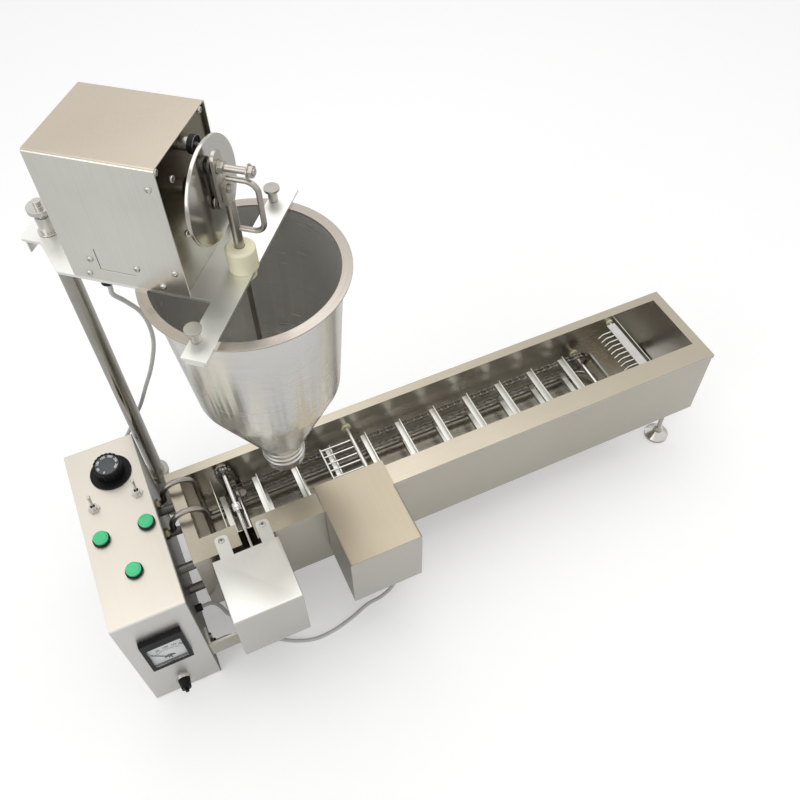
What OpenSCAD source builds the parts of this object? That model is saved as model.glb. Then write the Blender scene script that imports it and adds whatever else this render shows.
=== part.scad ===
/* [Steelwork] */
// Thickness of the folded sheet of the cabinet, casing, covers and tank
sheet = 1.5; // [1:0.25:2]
// Inside radius of the folds in the sheet
fold_r = 2; // [1.5:0.5:3]
// Gap between a panel's hole and the piece that passes through it
panel_fit = 0.2; // [0.1:0.1:0.5]
// Radial clearance of a shaft or pin in its bore
pivot_fit = 0.05; // [0.02:0.01:0.1]
// Gap between pieces that move past each other
running_gap = 0.3; // [0.2:0.1:0.5]

/* [Control cabinet] */
// Width of the cabinet, left to right
cabinet_w = 107; // [100:1:120]
// Depth of the cabinet, front to back
cabinet_d = 312; // [300:1:320]
// Height of the cabinet
cabinet_h = 270; // [262:1:276]
// Distance of the cabinet's front face ahead of the trough rim
cabinet_lead = 65; // [55:1:70]
// Gap between the cabinet and the trough rim
cabinet_gap = 24; // [22:1:30]

/* [Controls] */
// Radius of the flange round the temperature dial
dial_flange_r = 31; // [28:1:34]
// Thickness of the dial's flange
dial_flange_t = 3; // [2:0.5:4]
// Radius of the temperature knob
dial_r = 21; // [18:1:24]
// Height of the temperature knob
dial_h = 20; // [16:1:24]
// Radius of the shaft of a control knob
spindle_r = 3; // [2.5:0.5:3.5]
// Radius of a toggle switch's bush
toggle_bush_r = 5.8; // [5.5:0.1:6.5]
// Width across the flats of a toggle switch's nut
toggle_nut_af = 15; // [14:1:17]
// Lean of the toggle levers at rest, in degrees
toggle_lean = 14; // [8:1:14]
// Length of a toggle lever from its pivot
toggle_lever_len = 22; // [18:1:26]
// Radius of a lamp's collar
lamp_r = 12.5; // [11:0.5:14]
// Height of a lamp's collar above the panel
lamp_collar_h = 5; // [4:1:7]
// Height of a lamp's lens above its collar
lamp_lens_h = 6; // [4:1:8]
// Width of the panel meter
meter_w = 62; // [58:1:66]
// Height of the panel meter
meter_h = 92; // [84:1:96]
// Depth of the meter's frame in front of the panel
meter_t = 9; // [7:1:12]
// Radius of the speed knob
speed_knob_r = 9.5; // [8:0.5:11]
// Length of the speed knob
speed_knob_len = 15; // [12:1:18]

/* [Fryer trough] */
// Length of the trough over its rim
trough_len = 919; // [900:1:940]
// Width of the trough over its rim
trough_w = 167; // [165:1:172]
// Height of the top of the rim above the bench
rim_z = 244; // [240:1:246]
// Height of the underside of the casing above the bench
casing_z = 96; // [90:1:100]
// Width of the rim along the front
rim_front = 36.5; // [35:0.5:38]
// Width of the rim along the back
rim_back = 16; // [15:0.5:17]
// Width of the rim at the cabinet end
rim_left = 19; // [18:0.5:20]
// Width of the rim at the discharge end
rim_right = 18; // [17:0.5:20]
// Depth of the tank below the rim
tank_depth = 116; // [114:1:118]
// Length of the open discharge at the right end
discharge_len = 82; // [76:1:86]
// Depth of the turned-down edge of the rim
rim_lip = 8; // [6:1:10]
// Distance of the cross baffle from the tank's left end
baffle_x = 43; // [42:0.5:44]

/* [Feet] */
// Radius of a levelling foot's pad
foot_r = 22; // [18:1:24]
// Radius of a levelling foot's stem
foot_stem_r = 4; // [3.5:0.5:5]
// Distance of the feet from the discharge end
foot_inset_x = 36; // [30:1:40]
// Distance of the front foot from the front of the rim
foot_front_y = 24; // [22:1:26]
// Distance of the rear foot from the back of the rim
foot_rear_y = 8; // [7.6:0.1:8.2]

/* [Heater] */
// Outer radius of the heater tube
heater_r = 4.5; // [4:0.5:5]
// Bend radius of the tube's feet
heater_bend_r = 9; // [8:0.5:10]
// Radius of the arch over the rim
heater_arch_r = 26; // [25:0.5:27]
// Height of the arch's centre line above the rim
heater_over_rim = 19; // [17:1:22]
// Distance of the heater's front leg from the tank's front wall
heater_front_y = 41.5; // [40:0.5:43]
// Distance between the heater's two legs
heater_span = 56; // [54:1:58]
// Length of the heater's run along the tank
heater_run = 691; // [660:1:700]

/* [Conveyor] */
// Pitch of the conveyor chain
chain_pitch = 12.7; // [12:0.1:12.7]
// Links in one straight run of a conveyor chain
run_links = 51; // [49:1:51]
// Teeth of a conveyor sprocket
sprocket_teeth = 8; // [8:2:8]
// Height of the conveyor shafts above the bench
conveyor_z = 176; // [175.5:0.1:177]
// Distance of the feed shaft from the tank's left end
feed_x = 78; // [76:0.5:79]
// Width of a conveyor chain
chain_w = 9; // [8:0.5:10]
// Height of a flight above the chain's pitch line
flight_h = 12; // [9:0.5:12]
// Links from one flight to the next
flight_links = 5; // [5:5:10]
// Radius of the conveyor shafts
shaft_r = 4; // [3.5:0.5:4.5]
// Height of the drive shaft above the bench
drive_z = 230; // [228:0.5:232]
// Distance of the drive shaft from the tank's left end
drive_x = 67; // [66:0.5:68]
// Radius of the drive shaft's coupling
coupling_r = 9; // [8:0.5:10]

/* [Turner and exit] */
// Distance of the turner's shaft from the tank's left end
turner_x = 280; // [270:1:285]
// Height of the turner's shaft above the bench
turner_z = 213; // [212:0.5:215]
// Length of the turner's tines
turner_reach = 56; // [50:1:60]
// Distance of the exit comb's pivot from the tank's right end
comb_x = 9; // [8:0.5:10]
// Height of the exit comb's bar above the bench
comb_z = 232; // [230:0.5:234]
// Reach of the comb's wires from its pivot
comb_reach = 36; // [32:1:40]

/* [Drive covers] */
// Width of the conveyor drive's cover
box1_w = 103; // [98:1:108]
// Depth of the conveyor drive's cover
box1_d = 103; // [98:1:108]
// Height of the conveyor drive's cover
box1_h = 114; // [110:1:118]
// Distance of the conveyor cover's left side from the tank's left end
box1_x = 5; // [2:1:8]
// Distance of the conveyor cover's back from the rim's front edge
box1_gap = 9; // [7:1:11]
// Width of the turner drive's cover
box2_w = 114; // [108:1:118]
// Depth of the turner drive's cover ahead of the rim
box2_d = 101; // [96:1:106]
// Height of the turner drive's cover
box2_h = 121; // [116:1:126]
// Distance of the turner cover's left side from the tank's left end
box2_x = 185; // [180:1:190]
// Reach of the turner cover's top past the rim's front edge
box2_over = 45; // [42:1:46]

/* [Column] */
// Distance of the column's axis behind the cabinet
column_y = 19; // [18:0.5:22]
// Distance of the column's axis to the right of the cabinet's right side
column_x = 11; // [8:0.5:12]
// Outer radius of the column tube
column_r = 12; // [11:0.5:13]
// Wall of the column tube
column_wall = 2; // [1.5:0.5:3]
// Outer radius of the column's socket
socket_r = 17; // [16:0.5:18]
// Height of the column's socket
socket_h = 130; // [120:1:140]

/* [Head] */
// Distance between the column's and the hopper's axes
head_reach = 254.15; // [254:0.05:256]
// Bearing of the head from the machine's right, in degrees
head_angle = -39.89; // [-42:0.01:-38]
// Height of the arm's top above the bench
arm_z = 668; // [660:1:676]
// Thickness of the arm's plate
arm_t = 4; // [3:0.5:4]
// Width of the head's housing
head_w = 124; // [120:1:130]
// Length of the head's housing
head_len = 146; // [142:1:146]
// Height of the head's housing
head_h = 173; // [168:1:178]
// Distance of the housing's back from the hopper's axis
head_setback = 186.15; // [184:0.05:188]
// Length of the cross strip over the hopper
strip_len = 294; // [292:1:300]
// Width of the cross strip over the hopper
strip_w = 30; // [26:1:32]

/* [Depositor] */
// Radius of the crank disc
disc_r = 60; // [56:1:60]
// Thickness of the crank disc
disc_t = 5; // [4:0.5:5]
// Throw of the crank
crank_throw = 13; // [10:0.5:13]
// Height of the crank's axis above the arm
crank_h = 105; // [103:1:107]
// Length of the connecting link between its eyes
link_len = 47; // [45:0.5:49]
// Radius of the plunger's tube
plunger_tube_r = 5.75; // [5:0.25:6]
// Radius of the plunger's rod and of the handle's rod
rod_r = 3.25; // [3:0.25:3.5]
// Radius of the nylon guide bush
guide_r = 18; // [16:0.5:18.5]
// Height of the guide bush above the arm
guide_h = 32; // [30:1:34]

/* [Hopper] */
// Outer radius of the hopper's rim
hopper_rim_r = 126.6; // [125:0.1:127]
// Inner radius of the hopper at its mouth
hopper_mouth_r = 113.7; // [112:0.1:115]
// Outer radius of the hopper at its shoulder
hopper_shoulder_r = 98; // [95:1:101]
// Height of the shoulder above the bench
hopper_shoulder_z = 463; // [455:1:470]
// Outer radius of the hopper where it meets the nozzle
hopper_neck_r = 42.6; // [40:0.2:45]
// Height of the hopper's neck above the bench
hopper_neck_z = 340; // [336:1:344]
// Outer radius of the nozzle
nozzle_r = 30.5; // [29:0.5:32]
// Height of the nozzle's mouth above the bench
nozzle_z = 274.5; // [274:0.5:276]

/* [Hidden] */

// Curves are smooth where a bore, pin or rolled form needs them
$fn = 64;

// Colours as the photograph shows them
steel = [0.74, 0.73, 0.70];
dark_steel = [0.45, 0.45, 0.44];
chrome = [0.82, 0.83, 0.85];
black_plastic = [0.09, 0.09, 0.10];
lens_green = [0.10, 0.66, 0.40];
nylon = [0.93, 0.88, 0.66];
pale_plastic = [0.86, 0.86, 0.84];
brass = [0.78, 0.66, 0.36];
cable_grey = [0.80, 0.80, 0.80];

// One overrun serves every cut
overrun = 5;

// Machine frame: x runs right from the cabinet's left side, y back from the rim's front edge
cabinet_y0 = -cabinet_lead;
cabinet_y1 = cabinet_d - cabinet_lead;
trough_x0 = cabinet_w + cabinet_gap;
trough_x1 = trough_x0 + trough_len;
tank_x0 = trough_x0 + rim_left;
discharge_x1 = trough_x1 - rim_right;
tank_x1 = discharge_x1 - discharge_len;
tank_y0 = rim_front;
tank_y1 = trough_w - rim_back;
tank_z = rim_z - tank_depth;
box1_x0 = tank_x0 + box1_x;
box1_x1 = box1_x0 + box1_w;
box1_y1 = -box1_gap;
box1_y0 = box1_y1 - box1_d;
box1_z1 = rim_z + sheet;
box1_z0 = box1_z1 - box1_h;
box2_x0 = tank_x0 + box2_x;
box2_x1 = box2_x0 + box2_w;
box2_y0 = -box2_d;
box2_rise = 4;
box2_z1 = rim_z + box2_rise;
box2_z0 = box2_z1 - box2_h;
col_x = cabinet_w + column_x;
col_y = cabinet_y1 + column_y;

// The arm's tail behind the column, whose rear corner is the machine's rearmost point
tail_len = 28;
tail_w = 44;
tail_corner_r = 5;
rear_y = col_y - (tail_len - tail_corner_r) * sin(head_angle)
    + (tail_w / 2 - tail_corner_r) * cos(head_angle) + tail_corner_r;
front_y = box1_y0;
mid_x = trough_x1 / 2;
mid_y = (front_y + rear_y) / 2;

// Places a piece given in the machine frame so that the origin is the footprint's centre
module on_bench() {
    translate([-mid_x, -mid_y, 0])
        children();
}

// Places a piece given along the head: x out from the column, y across, z up
module on_head() {
    translate([col_x - mid_x, col_y - mid_y, 0])
        rotate(head_angle)
            children();
}

// A block between two corners
module block(x0, x1, y0, y1, z0, z1) {
    translate([x0, y0, z0])
        cube([x1 - x0, y1 - y0, z1 - z0]);
}

// A round bar along z, from z0 to z1
module bar_z(r, z0, z1, x = 0, y = 0) {
    translate([x, y, z0])
        cylinder(r = r, h = z1 - z0);
}

// A round bar along x, from x0 to x1
module bar_x(r, x0, x1, y, z) {
    translate([x0, y, z])
        rotate([0, 90, 0])
            cylinder(r = r, h = x1 - x0);
}

// A round bar along y, from y0 to y1
module bar_y(r, y0, y1, x, z) {
    translate([x, y0, z])
        rotate([-90, 0, 0])
            cylinder(r = r, h = y1 - y0);
}

// A flat rectangle with round corners, from the origin to (w, h)
module round_rect(w, h, r) {
    translate([r, 0])
        square([w - 2 * r, h]);
    translate([0, r])
        square([w, h - 2 * r]);
    for (x = [r, w - r], y = [r, h - r])
        translate([x, y])
            circle(r = r);
}

// A hexagon prism along z, given across its flats
module hex_z(af, z0, z1, x = 0, y = 0) {
    translate([x, y, z0])
        cylinder(d = af / cos(30), h = z1 - z0, $fn = 6);
}

// A hexagon prism along x
module hex_x(af, x0, x1, y, z) {
    translate([x0, y, z])
        rotate([0, 90, 0])
            cylinder(d = af / cos(30), h = x1 - x0, $fn = 6);
}

// A band that runs round two circles of one radius: the shape of a chain's side plates
module race(r_in, r_out, span) {
    difference() {
        union() {
            circle(r = r_out);
            translate([span, 0])
                circle(r = r_out);
            translate([0, -r_out])
                square([span, 2 * r_out]);
        }
        circle(r = r_in);
        translate([span, 0])
            circle(r = r_in);
        translate([0, -r_in])
            square([span, 2 * r_in]);
    }
}

// A toothed wheel with its teeth cut between its own pins
module sprocket(tip_r, teeth, pin_r, pitch_r, t) {
    linear_extrude(height = t)
        difference() {
            circle(r = tip_r);
            for (i = [0 : teeth - 1])
                rotate(i * 360 / teeth)
                    translate([pitch_r, 0])
                        circle(r = pin_r + tooth_gap);
        }
}

// Unit direction and side vectors along a route, used to sweep a cable
function unit(v) = v / norm(v);
function along(p, i, route) =
    i == 0 ? unit(route[1] - route[0])
    : i == len(p) - 1 ? unit(route[len(route) - 1] - route[len(route) - 2])
    : unit(p[i + 1] - p[i - 1]);
function side_of(d) = unit(cross(d, abs(d[2]) > 0.9 ? [1, 0, 0] : [0, 0, 1]));

// A point on a smooth curve through four points of a route
function curve_at(a, b, c, d, t) =
    0.5 * (2 * b + (c - a) * t + (2 * a - 5 * b + 4 * c - d) * t * t
    + (3 * b - a - 3 * c + d) * t * t * t);
function smooth(p, n) = [
    for (i = [0 : len(p) - 2], k = [0 : n - 1])
        curve_at(p[max(i - 1, 0)], p[i], p[i + 1], p[min(i + 2, len(p) - 1)], k / n),
    p[len(p) - 1]
];

// A cable of radius r swept along a route as one closed skin
module cable(route, r, sides, n) {
    p = smooth(route, n);
    count = len(p);
    points = [
        for (i = [0 : count - 1], k = [0 : sides - 1])
            let (d = along(p, i, route), u = side_of(d), w = cross(d, u), a = k * 360 / sides)
            p[i] + r * (cos(a) * u + sin(a) * w)
    ];
    faces = concat(
        [[for (k = [0 : sides - 1]) k]],
        [for (i = [0 : count - 2], k = [0 : sides - 1]) each [
            [i * sides + k, (i + 1) * sides + k, i * sides + (k + 1) % sides],
            [(i + 1) * sides + k, (i + 1) * sides + (k + 1) % sides, i * sides + (k + 1) % sides]
        ]],
        [[for (k = [sides - 1 : -1 : 0]) (count - 1) * sides + k]]
    );
    polyhedron(points = points, faces = faces);
}

// Places on the cabinet's top, measured from its left side and its back
dial_right = 46;
dial_back = 60;
dial_x = cabinet_w - dial_right;
dial_y = cabinet_y1 - dial_back;
toggle_left_x = 24;
toggle_right = 18;
toggle_back = 113;
toggle_right_x = cabinet_w - toggle_right;
toggle_y = cabinet_y1 - toggle_back;
lamp_left_x = 23;
lamp_right = 18;
lamp_mid = 53;
lamp_row_back = 169;
lamp_front_back = 237;
lamp_right_x = cabinet_w - lamp_right;
lamp_mid_x = cabinet_w - lamp_mid;
lamp_row_y = cabinet_y1 - lamp_row_back;
lamp_front_y = cabinet_y1 - lamp_front_back;
lamp_spots = [
    [lamp_right_x, lamp_row_y], [lamp_left_x, lamp_row_y], [lamp_mid_x, lamp_front_y]
];
lamp_body_r = 10.5;
dial_bush_r = 5;
toggle_pivot_h = 4;
toggle_bush_h = 9;

// Places on the cabinet's front face
meter_x = 53;
meter_mid_z = 165;
meter_barrel_r = 24;
speed_x = 51;
speed_z = 35;
speed_bush_r = 4.5;

// Levels and bends of the heater
heater_bay_x = tank_x0 + 22;
heater_rise_x = heater_bay_x - 2 * heater_arch_r;
heater_arch_z = rim_z + heater_over_rim - heater_arch_r;
heater_drop = 15;
heater_gland_z = heater_arch_z - heater_drop;
heater_lift = 12;
heater_z = tank_z + heater_lift;
heater_y0 = tank_y0 + heater_front_y;
heater_ys = [heater_y0, heater_y0 + heater_span];
heater_run_x0 = heater_bay_x + heater_bend_r;
heater_run_x1 = heater_run_x0 + heater_run;
gland_af = 16;
gland_len = 4;

// Socket bolts, stand-off bolts and the tie bar's bolts on the cabinet
bolt_r = 3;
bolt_fit = 0.2;
bolt_head_af = 10;
bolt_head_h = 4;
standoff_r = 7;
standoff_ys = [30, 140];
standoff_low_z = 120;
standoff_high_z = 190;
standoff_spots = [for (y = standoff_ys, z = [standoff_low_z, standoff_high_z]) [y, z]];
socket_plate_t = 4;
socket_plate_w = 56;
socket_plate_z0 = 20;
socket_plate_z1 = 110;
socket_bolt_in = 14;
socket_bolt_zs = [socket_plate_z0 + socket_bolt_in, socket_plate_z1 - socket_bolt_in];
socket_bolt_x = col_x - socket_plate_w + socket_bolt_in;

// Tie bar from the cabinet to the conveyor's gearmotor
tie_y = -60;
tie_t = 4;
tie_z0 = 66;
tie_z1 = 102;
tie_foot = 28;
tie_lug_w = 20;
tie_len = 88;
tie_bolt_in = 9;
tie_bolt_y = tie_y + tie_foot / 2 + tie_t / 2;
tie_bolt_zs = [tie_z0 + tie_bolt_in, tie_z1 - tie_bolt_in];

// Shafts of the conveyor
drive_shaft_x = tank_x0 + drive_x;
feed_shaft_x = tank_x0 + feed_x;
pitch_r = chain_pitch / (2 * sin(180 / sprocket_teeth));
conveyor_run = run_links * chain_pitch;
tail_shaft_x = feed_shaft_x + conveyor_run;
bush_t = 3;
bush_r = 8;
chain_plate_t = 1.5;
chain_plate_h = 3.5;
chain_pin_r = 1.5;
sprocket_t = 4;
tooth_gap = 0.7;
wall_gap = 1.5;
front_chain_y0 = tank_y0 + bush_t + wall_gap;
transfer_chain_y1 = tank_y1 - bush_t - wall_gap;
transfer_chain_y0 = transfer_chain_y1 - chain_w;
back_chain_y1 = transfer_chain_y0 - 2 * wall_gap;
back_chain_y0 = back_chain_y1 - chain_w;
transfer_pitch = 8;
transfer_teeth = 8;
transfer_r = transfer_pitch / (2 * sin(180 / transfer_teeth));
transfer_plate_h = 3;
transfer_dx = drive_shaft_x - feed_shaft_x;
transfer_dz = drive_z - conveyor_z;
transfer_span = sqrt(transfer_dx * transfer_dx + transfer_dz * transfer_dz);
transfer_tilt = atan2(transfer_dz, transfer_dx);
coupling_y0 = tank_y0 + 25.5;
coupling_len = 14;
notch_w = 24;
notch_below = 8;

// Turner and exit comb
turner_shaft_x = tank_x0 + turner_x;
tine_r = 1.6;
tine_in = 17;
tine_bar_r = 2;
tine_bar_over = 3;
tine_pitch = 14;
tine_ys = [for (i = [0 : 5]) tank_y0 + tine_in + i * tine_pitch];
comb_pivot_x = tank_x1 - comb_x;
comb_bar_w = 16;
comb_bar_t = 2;
comb_pivot_r = 3;
comb_pivot_z = comb_z - 3;
comb_wires = 9;
comb_wire_r = 1.5;
comb_wire_in = 8;
comb_wire_pitch = 10;
comb_tip_len = 10;
comb_tip_turn = 40;

// Screws of the sheet covers
screw_head_r = 4;
screw_head_h = 2.2;
screw_r = 1.9;
screw_len = 6;
tab_w = 45;
tab_gap = 24;
tab_x0 = box1_x0 + 5;
tab_x1 = tab_x0 + tab_w;
tab_x2 = tab_x1 + tab_gap;
tab_x3 = box1_x1 - 2;
tab_reach = 33;
tab_screw_y = 18;
tab_screw_in = 19;
tab_screw_xs = [tab_x0 + tab_screw_in, tab_x3 - tab_screw_in / 2 - screw_head_r];
side_screw_in = 10;

// Gearmotors
motor_top = 10;
motor_w = 50;
motor_d = 36;
motor_y1 = -14;
motor_y0 = motor_y1 - motor_d;
motor_can_r = 27;
motor_can_len = 46;
motor_foot_t = 4;
motor_bore = 26;
motor_h = 74;
motor_can_drop = 34;
motor_boss_r = 7;
motor_pillar_r = 4;
motor_pillar_in = 7;
turner_motor_top = 20;
turner_motor_shift = 18;

// Head
under_arm = arm_z - arm_t;
hook_t = 4;
hook_drop = 2;
rim_t = 2;
hopper_rim_top = under_arm;
strip_s0 = head_reach - strip_w / 2;
strip_s1 = head_reach + strip_w / 2;
arm_w = 124;
arm_taper_s = 45;
head_back_s = head_reach - head_setback;
head_s1 = head_back_s + head_len;
end_plate_t = 2;
end_plate_inset = 4;
end_plate_s1 = head_s1 - end_plate_inset;
end_plate_s0 = end_plate_s1 - end_plate_t;
crank_z = arm_z + crank_h;
disc_back = 21.15;
disc_s0 = head_reach - disc_back;
disc_s1 = disc_s0 + disc_t;
crank_shaft_r = 8;
crank_pin_r = 4;
crank_pin_z = crank_z - crank_throw;
wrist_z = crank_pin_z + link_len;
link_t = 3;
link_gap = 2;
link_s0 = disc_s1 + link_gap;
link_s1 = link_s0 + link_t;
link_eye_r = 9;
link_w = 11;
ring_gap = 0.3;
ring_t = 1.5;
ring_r = 6;
cross_t = 4;
cross_s0 = link_s1 + 3;
cross_s1 = cross_s0 + cross_t;
cross_w = 20;
cross_rise = 98;
cross_h = 60;
cross_z0 = arm_z + cross_rise;
cross_z1 = cross_z0 + cross_h;
wrist_r = 4;
wrist_s0 = link_s1 + 0.5;
wrist_out = 35.85;
wrist_s1 = head_reach + wrist_out;
eye_t = 6;
eye_w = 14;
eye_root = 4;
eye_h = 22;
eye_bolt_h = 15;
eye_z1 = cross_z0 + eye_h;
eye_bolt_z = cross_z0 + eye_bolt_h;
tube_rise = 20;
tube_z0 = arm_z + tube_rise;
guide_shank_r = 13.8;
guide_shank_drop = 9;
guide_step_drop = 1;
guide_shank_z0 = under_arm - guide_shank_drop;
guide_step_z = tube_z0 - guide_step_drop;
thumb_back = 8.15;
thumb_s = head_reach - thumb_back;
thumb_n = 120;
thumb_r = 3;
switch_n = 4;
switch_rise = 159;
switch_z = arm_z + switch_rise;
switch_body_r = 8;
switch_body_len = 12;
switch_ring_r = 10;
switch_ring_len = 6;
switch_pin_r = 3;
cable_hole_in = 36;
cable_hole_s = head_back_s + cable_hole_in;
cable_hole_n = -54;
cable_r = 3;
grommet_r = 6;
grommet_drop = 6;

// Hopper and nozzle
hopper_wall = 2;
hopper_collar_r = 34;
hopper_collar_z0 = 318;
hopper_collar_z1 = 332;
nozzle_wall = 2.5;
nozzle_top_z = hopper_collar_z1 + 1;
nozzle_bead_zs = [287, 297, 307];
nozzle_bead_h = 4;
nozzle_bead = 1.6;

// Routes of the cables in the machine frame, from the head's hole to the cabinet's back
head_cable_route = [
    [163, 158, 658], [163, 158, 648], [163, 158, 637], [173, 168, 612], [186, 185, 570],
    [190, 205, 518], [186, 225, 463],
    [171, 245, 399], [153, 262, 344], [136, 278, 292], [118, 290, 250], [96, 290, 215],
    [76, 283, 195], [70, 273, 190], [70, 265, 190], [70, 257, 190]
];
turner_cable_route = [
    [418, -80, 165], [418, -80, 148], [418, -80, 130], [410, -76, 70], [392, -66, 22], [366, -62, 4],
    [335, -72, 4], [300, -80, 4], [265, -81, 4], [232, -70, 5], [200, -54, 14],
    [165, -42, 34], [145, -37, 46], [133, -36, 50], [125, -36, 50], [117, -36, 50]
];
conveyor_cable_route = [
    [217, -80, 172], [217, -80, 160], [217, -80, 148], [209, -62, 118], [190, -46, 110],
    [165, -42, 112], [151, -33, 117], [143, -17, 120], [136, -9, 122], [129, -6, 122],
    [123, -6, 122], [117, -6, 122]
];
cable_sides = 8;

// Cuts for a panel's round pieces that stand along z
module top_hole(r, x, y) {
    bar_z(r, cabinet_h - 2 * overrun, cabinet_h + overrun, x, y);
}

// A sheet cover, open below, with its upper edges folded round
module cover_skin(w, d, h) {
    difference() {
        rotate([90, 0, 0])
            translate([0, 0, -d])
                linear_extrude(height = d) {
                    square([w, h / 2]);
                    round_rect(w, h, fold_r + sheet);
                }
        rotate([90, 0, 0])
            translate([0, 0, sheet - d])
                linear_extrude(height = d - 2 * sheet)
                    translate([sheet, -overrun])
                        round_rect(w - 2 * sheet, h - sheet + overrun, fold_r);
    }
}

// Cabinet: one wrapped sheet for the front, top, back and bottom, with the left side
module cabinet_shell() {
    color(steel)
        on_bench()
            difference() {
                union() {
                    difference() {
                        translate([0, cabinet_y0, 0])
                            rotate([90, 0, 90])
                                linear_extrude(height = cabinet_w - sheet)
                                    round_rect(cabinet_d, cabinet_h, fold_r + sheet);
                        translate([sheet, cabinet_y0 + sheet, sheet])
                            rotate([90, 0, 90])
                                linear_extrude(height = cabinet_w)
                                    round_rect(cabinet_d - 2 * sheet, cabinet_h - 2 * sheet, fold_r);
                    }
                }
                top_hole(dial_bush_r + panel_fit, dial_x, dial_y);
                for (x = [toggle_left_x, toggle_right_x])
                    top_hole(toggle_bush_r + panel_fit, x, toggle_y);
                for (p = lamp_spots)
                    top_hole(lamp_body_r + panel_fit, p[0], p[1]);
                bar_y(meter_barrel_r + panel_fit, cabinet_y0 - overrun, cabinet_y0 + 2 * overrun,
                    meter_x, meter_mid_z);
                bar_y(speed_bush_r + panel_fit, cabinet_y0 - overrun, cabinet_y0 + 2 * overrun,
                    speed_x, speed_z);
                for (z = socket_bolt_zs)
                    bar_y(bolt_r + bolt_fit, cabinet_y1 - 2 * overrun, cabinet_y1 + overrun,
                        socket_bolt_x, z);
            }
}

// Cabinet's removable right side, which closes the end of the wrap
module cabinet_side_panel() {
    color(steel)
        on_bench()
            difference() {
                translate([cabinet_w - sheet, cabinet_y0, 0])
                    rotate([90, 0, 90])
                        linear_extrude(height = sheet)
                            round_rect(cabinet_d, cabinet_h, fold_r + sheet);
                for (y = heater_ys)
                    bar_x(heater_r + panel_fit, cabinet_w - 2 * overrun, cabinet_w + overrun, y,
                        heater_gland_z);
                for (p = standoff_spots)
                    bar_x(bolt_r + bolt_fit, cabinet_w - 2 * overrun, cabinet_w + overrun, p[0], p[1]);
                for (z = tie_bolt_zs)
                    bar_x(bolt_r + bolt_fit, cabinet_w - 2 * overrun, cabinet_w + overrun,
                        tie_bolt_y, z);
            }
}

// Thermostat: a flange over the panel, a bush through it and the body below
module thermostat() {
    body_r = 20;
    body_h = 26;
    color(black_plastic)
        on_bench()
            translate([dial_x, dial_y, cabinet_h])
                difference() {
                    union() {
                        cylinder(r = dial_flange_r, h = dial_flange_t);
                        bar_z(dial_bush_r, -sheet - body_h, dial_flange_t);
                        bar_z(body_r, -sheet - body_h, -sheet);
                    }
                    bar_z(spindle_r + pivot_fit, -dial_h, dial_flange_t + overrun);
                }
}

// Temperature knob with its grip flutes, dished top and spindle
module dial_knob() {
    flutes = 20;
    flute_r = 1.8;
    dish = 1;
    dish_r = dial_r - 3;
    spindle_len = dial_h - 1;
    color(black_plastic)
        on_bench()
            translate([dial_x, dial_y, cabinet_h + dial_flange_t + running_gap])
                difference() {
                    union() {
                        cylinder(r = dial_r, h = dial_h);
                        bar_z(spindle_r, -spindle_len, dial_h / 2);
                    }
                    bar_z(dish_r, dial_h - dish, dial_h + overrun);
                    for (i = [0 : flutes - 1])
                        rotate(i * 360 / flutes)
                            bar_z(flute_r, -overrun / 2, dial_h + overrun, dial_r + flute_r / 2, 0);
                }
}

// Two toggle switches: case below the panel, threaded bush and nut above it
module toggle_switches() {
    case_w = 13;
    case_d = 22;
    case_h = 22;
    nut_h = 3.5;
    bore_r = 3.5;
    color(chrome)
        on_bench()
            for (x = [toggle_left_x, toggle_right_x])
                translate([x, toggle_y, cabinet_h])
                    difference() {
                        union() {
                            block(-case_w / 2, case_w / 2, -case_d / 2, case_d / 2, -sheet - case_h, -sheet);
                            bar_z(toggle_bush_r, -sheet - case_h / 2, toggle_bush_h);
                            hex_z(toggle_nut_af, 0, nut_h);
                        }
                        bar_z(bore_r, -case_h / 2, toggle_bush_h + overrun);
                    }
}

// One toggle lever: a ball in the bush and a bat that widens to its round end
module toggle_lever(x) {
    ball_r = 3;
    neck_r = 1.6;
    bat_r = 2.7;
    tip_r = 2.8;
    color(chrome)
        on_bench()
            translate([x, toggle_y, cabinet_h + toggle_pivot_h])
                rotate([-toggle_lean, 0, 0]) {
                    sphere(r = ball_r);
                    cylinder(r1 = neck_r, r2 = bat_r, h = toggle_lever_len);
                    translate([0, 0, toggle_lever_len])
                        sphere(r = tip_r);
                }
}

module toggle_lever_left() {
    toggle_lever(toggle_left_x);
}

module toggle_lever_right() {
    toggle_lever(toggle_right_x);
}

// Collars of the three lamps, with their bodies through the panel
module lamp_bezels() {
    body_h = 24;
    color(black_plastic)
        on_bench()
            for (p = lamp_spots)
                translate([p[0], p[1], cabinet_h])
                    difference() {
                        union() {
                            cylinder(r = lamp_r, h = lamp_collar_h);
                            bar_z(lamp_body_r, -body_h, lamp_collar_h / 2);
                        }
                        bar_z(lamp_r - sheet, lamp_collar_h / 2, lamp_collar_h + overrun);
                    }
}

// Green lenses, each a drum with a raised top
module lamp_lenses() {
    skirt_r = lamp_r - sheet - panel_fit;
    top_r = skirt_r - 2;
    step = 1.5;
    color(lens_green)
        on_bench()
            for (p = lamp_spots)
                translate([p[0], p[1], cabinet_h]) {
                    bar_z(skirt_r, lamp_collar_h / 2, lamp_collar_h + lamp_lens_h - step);
                    bar_z(top_r, lamp_collar_h, lamp_collar_h + lamp_lens_h);
                }
}

// Window of the meter, measured from its lower left corner
meter_side = 6;
meter_foot = 9;
meter_head = 20;
meter_window_w = meter_w - 2 * meter_side;
meter_window_h = meter_h - meter_foot - meter_head;
meter_window_z = meter_mid_z - meter_h / 2 + meter_foot;
meter_back_t = 2;
meter_glass_t = 1.2;
meter_face_t = 1;
needle_gap = 0.6;
needle_r = 2.4;
needle_t = 0.8;
needle_post_r = 1;
needle_z = meter_window_z + 10;
meter_face_y = cabinet_y0 - meter_back_t;

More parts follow.
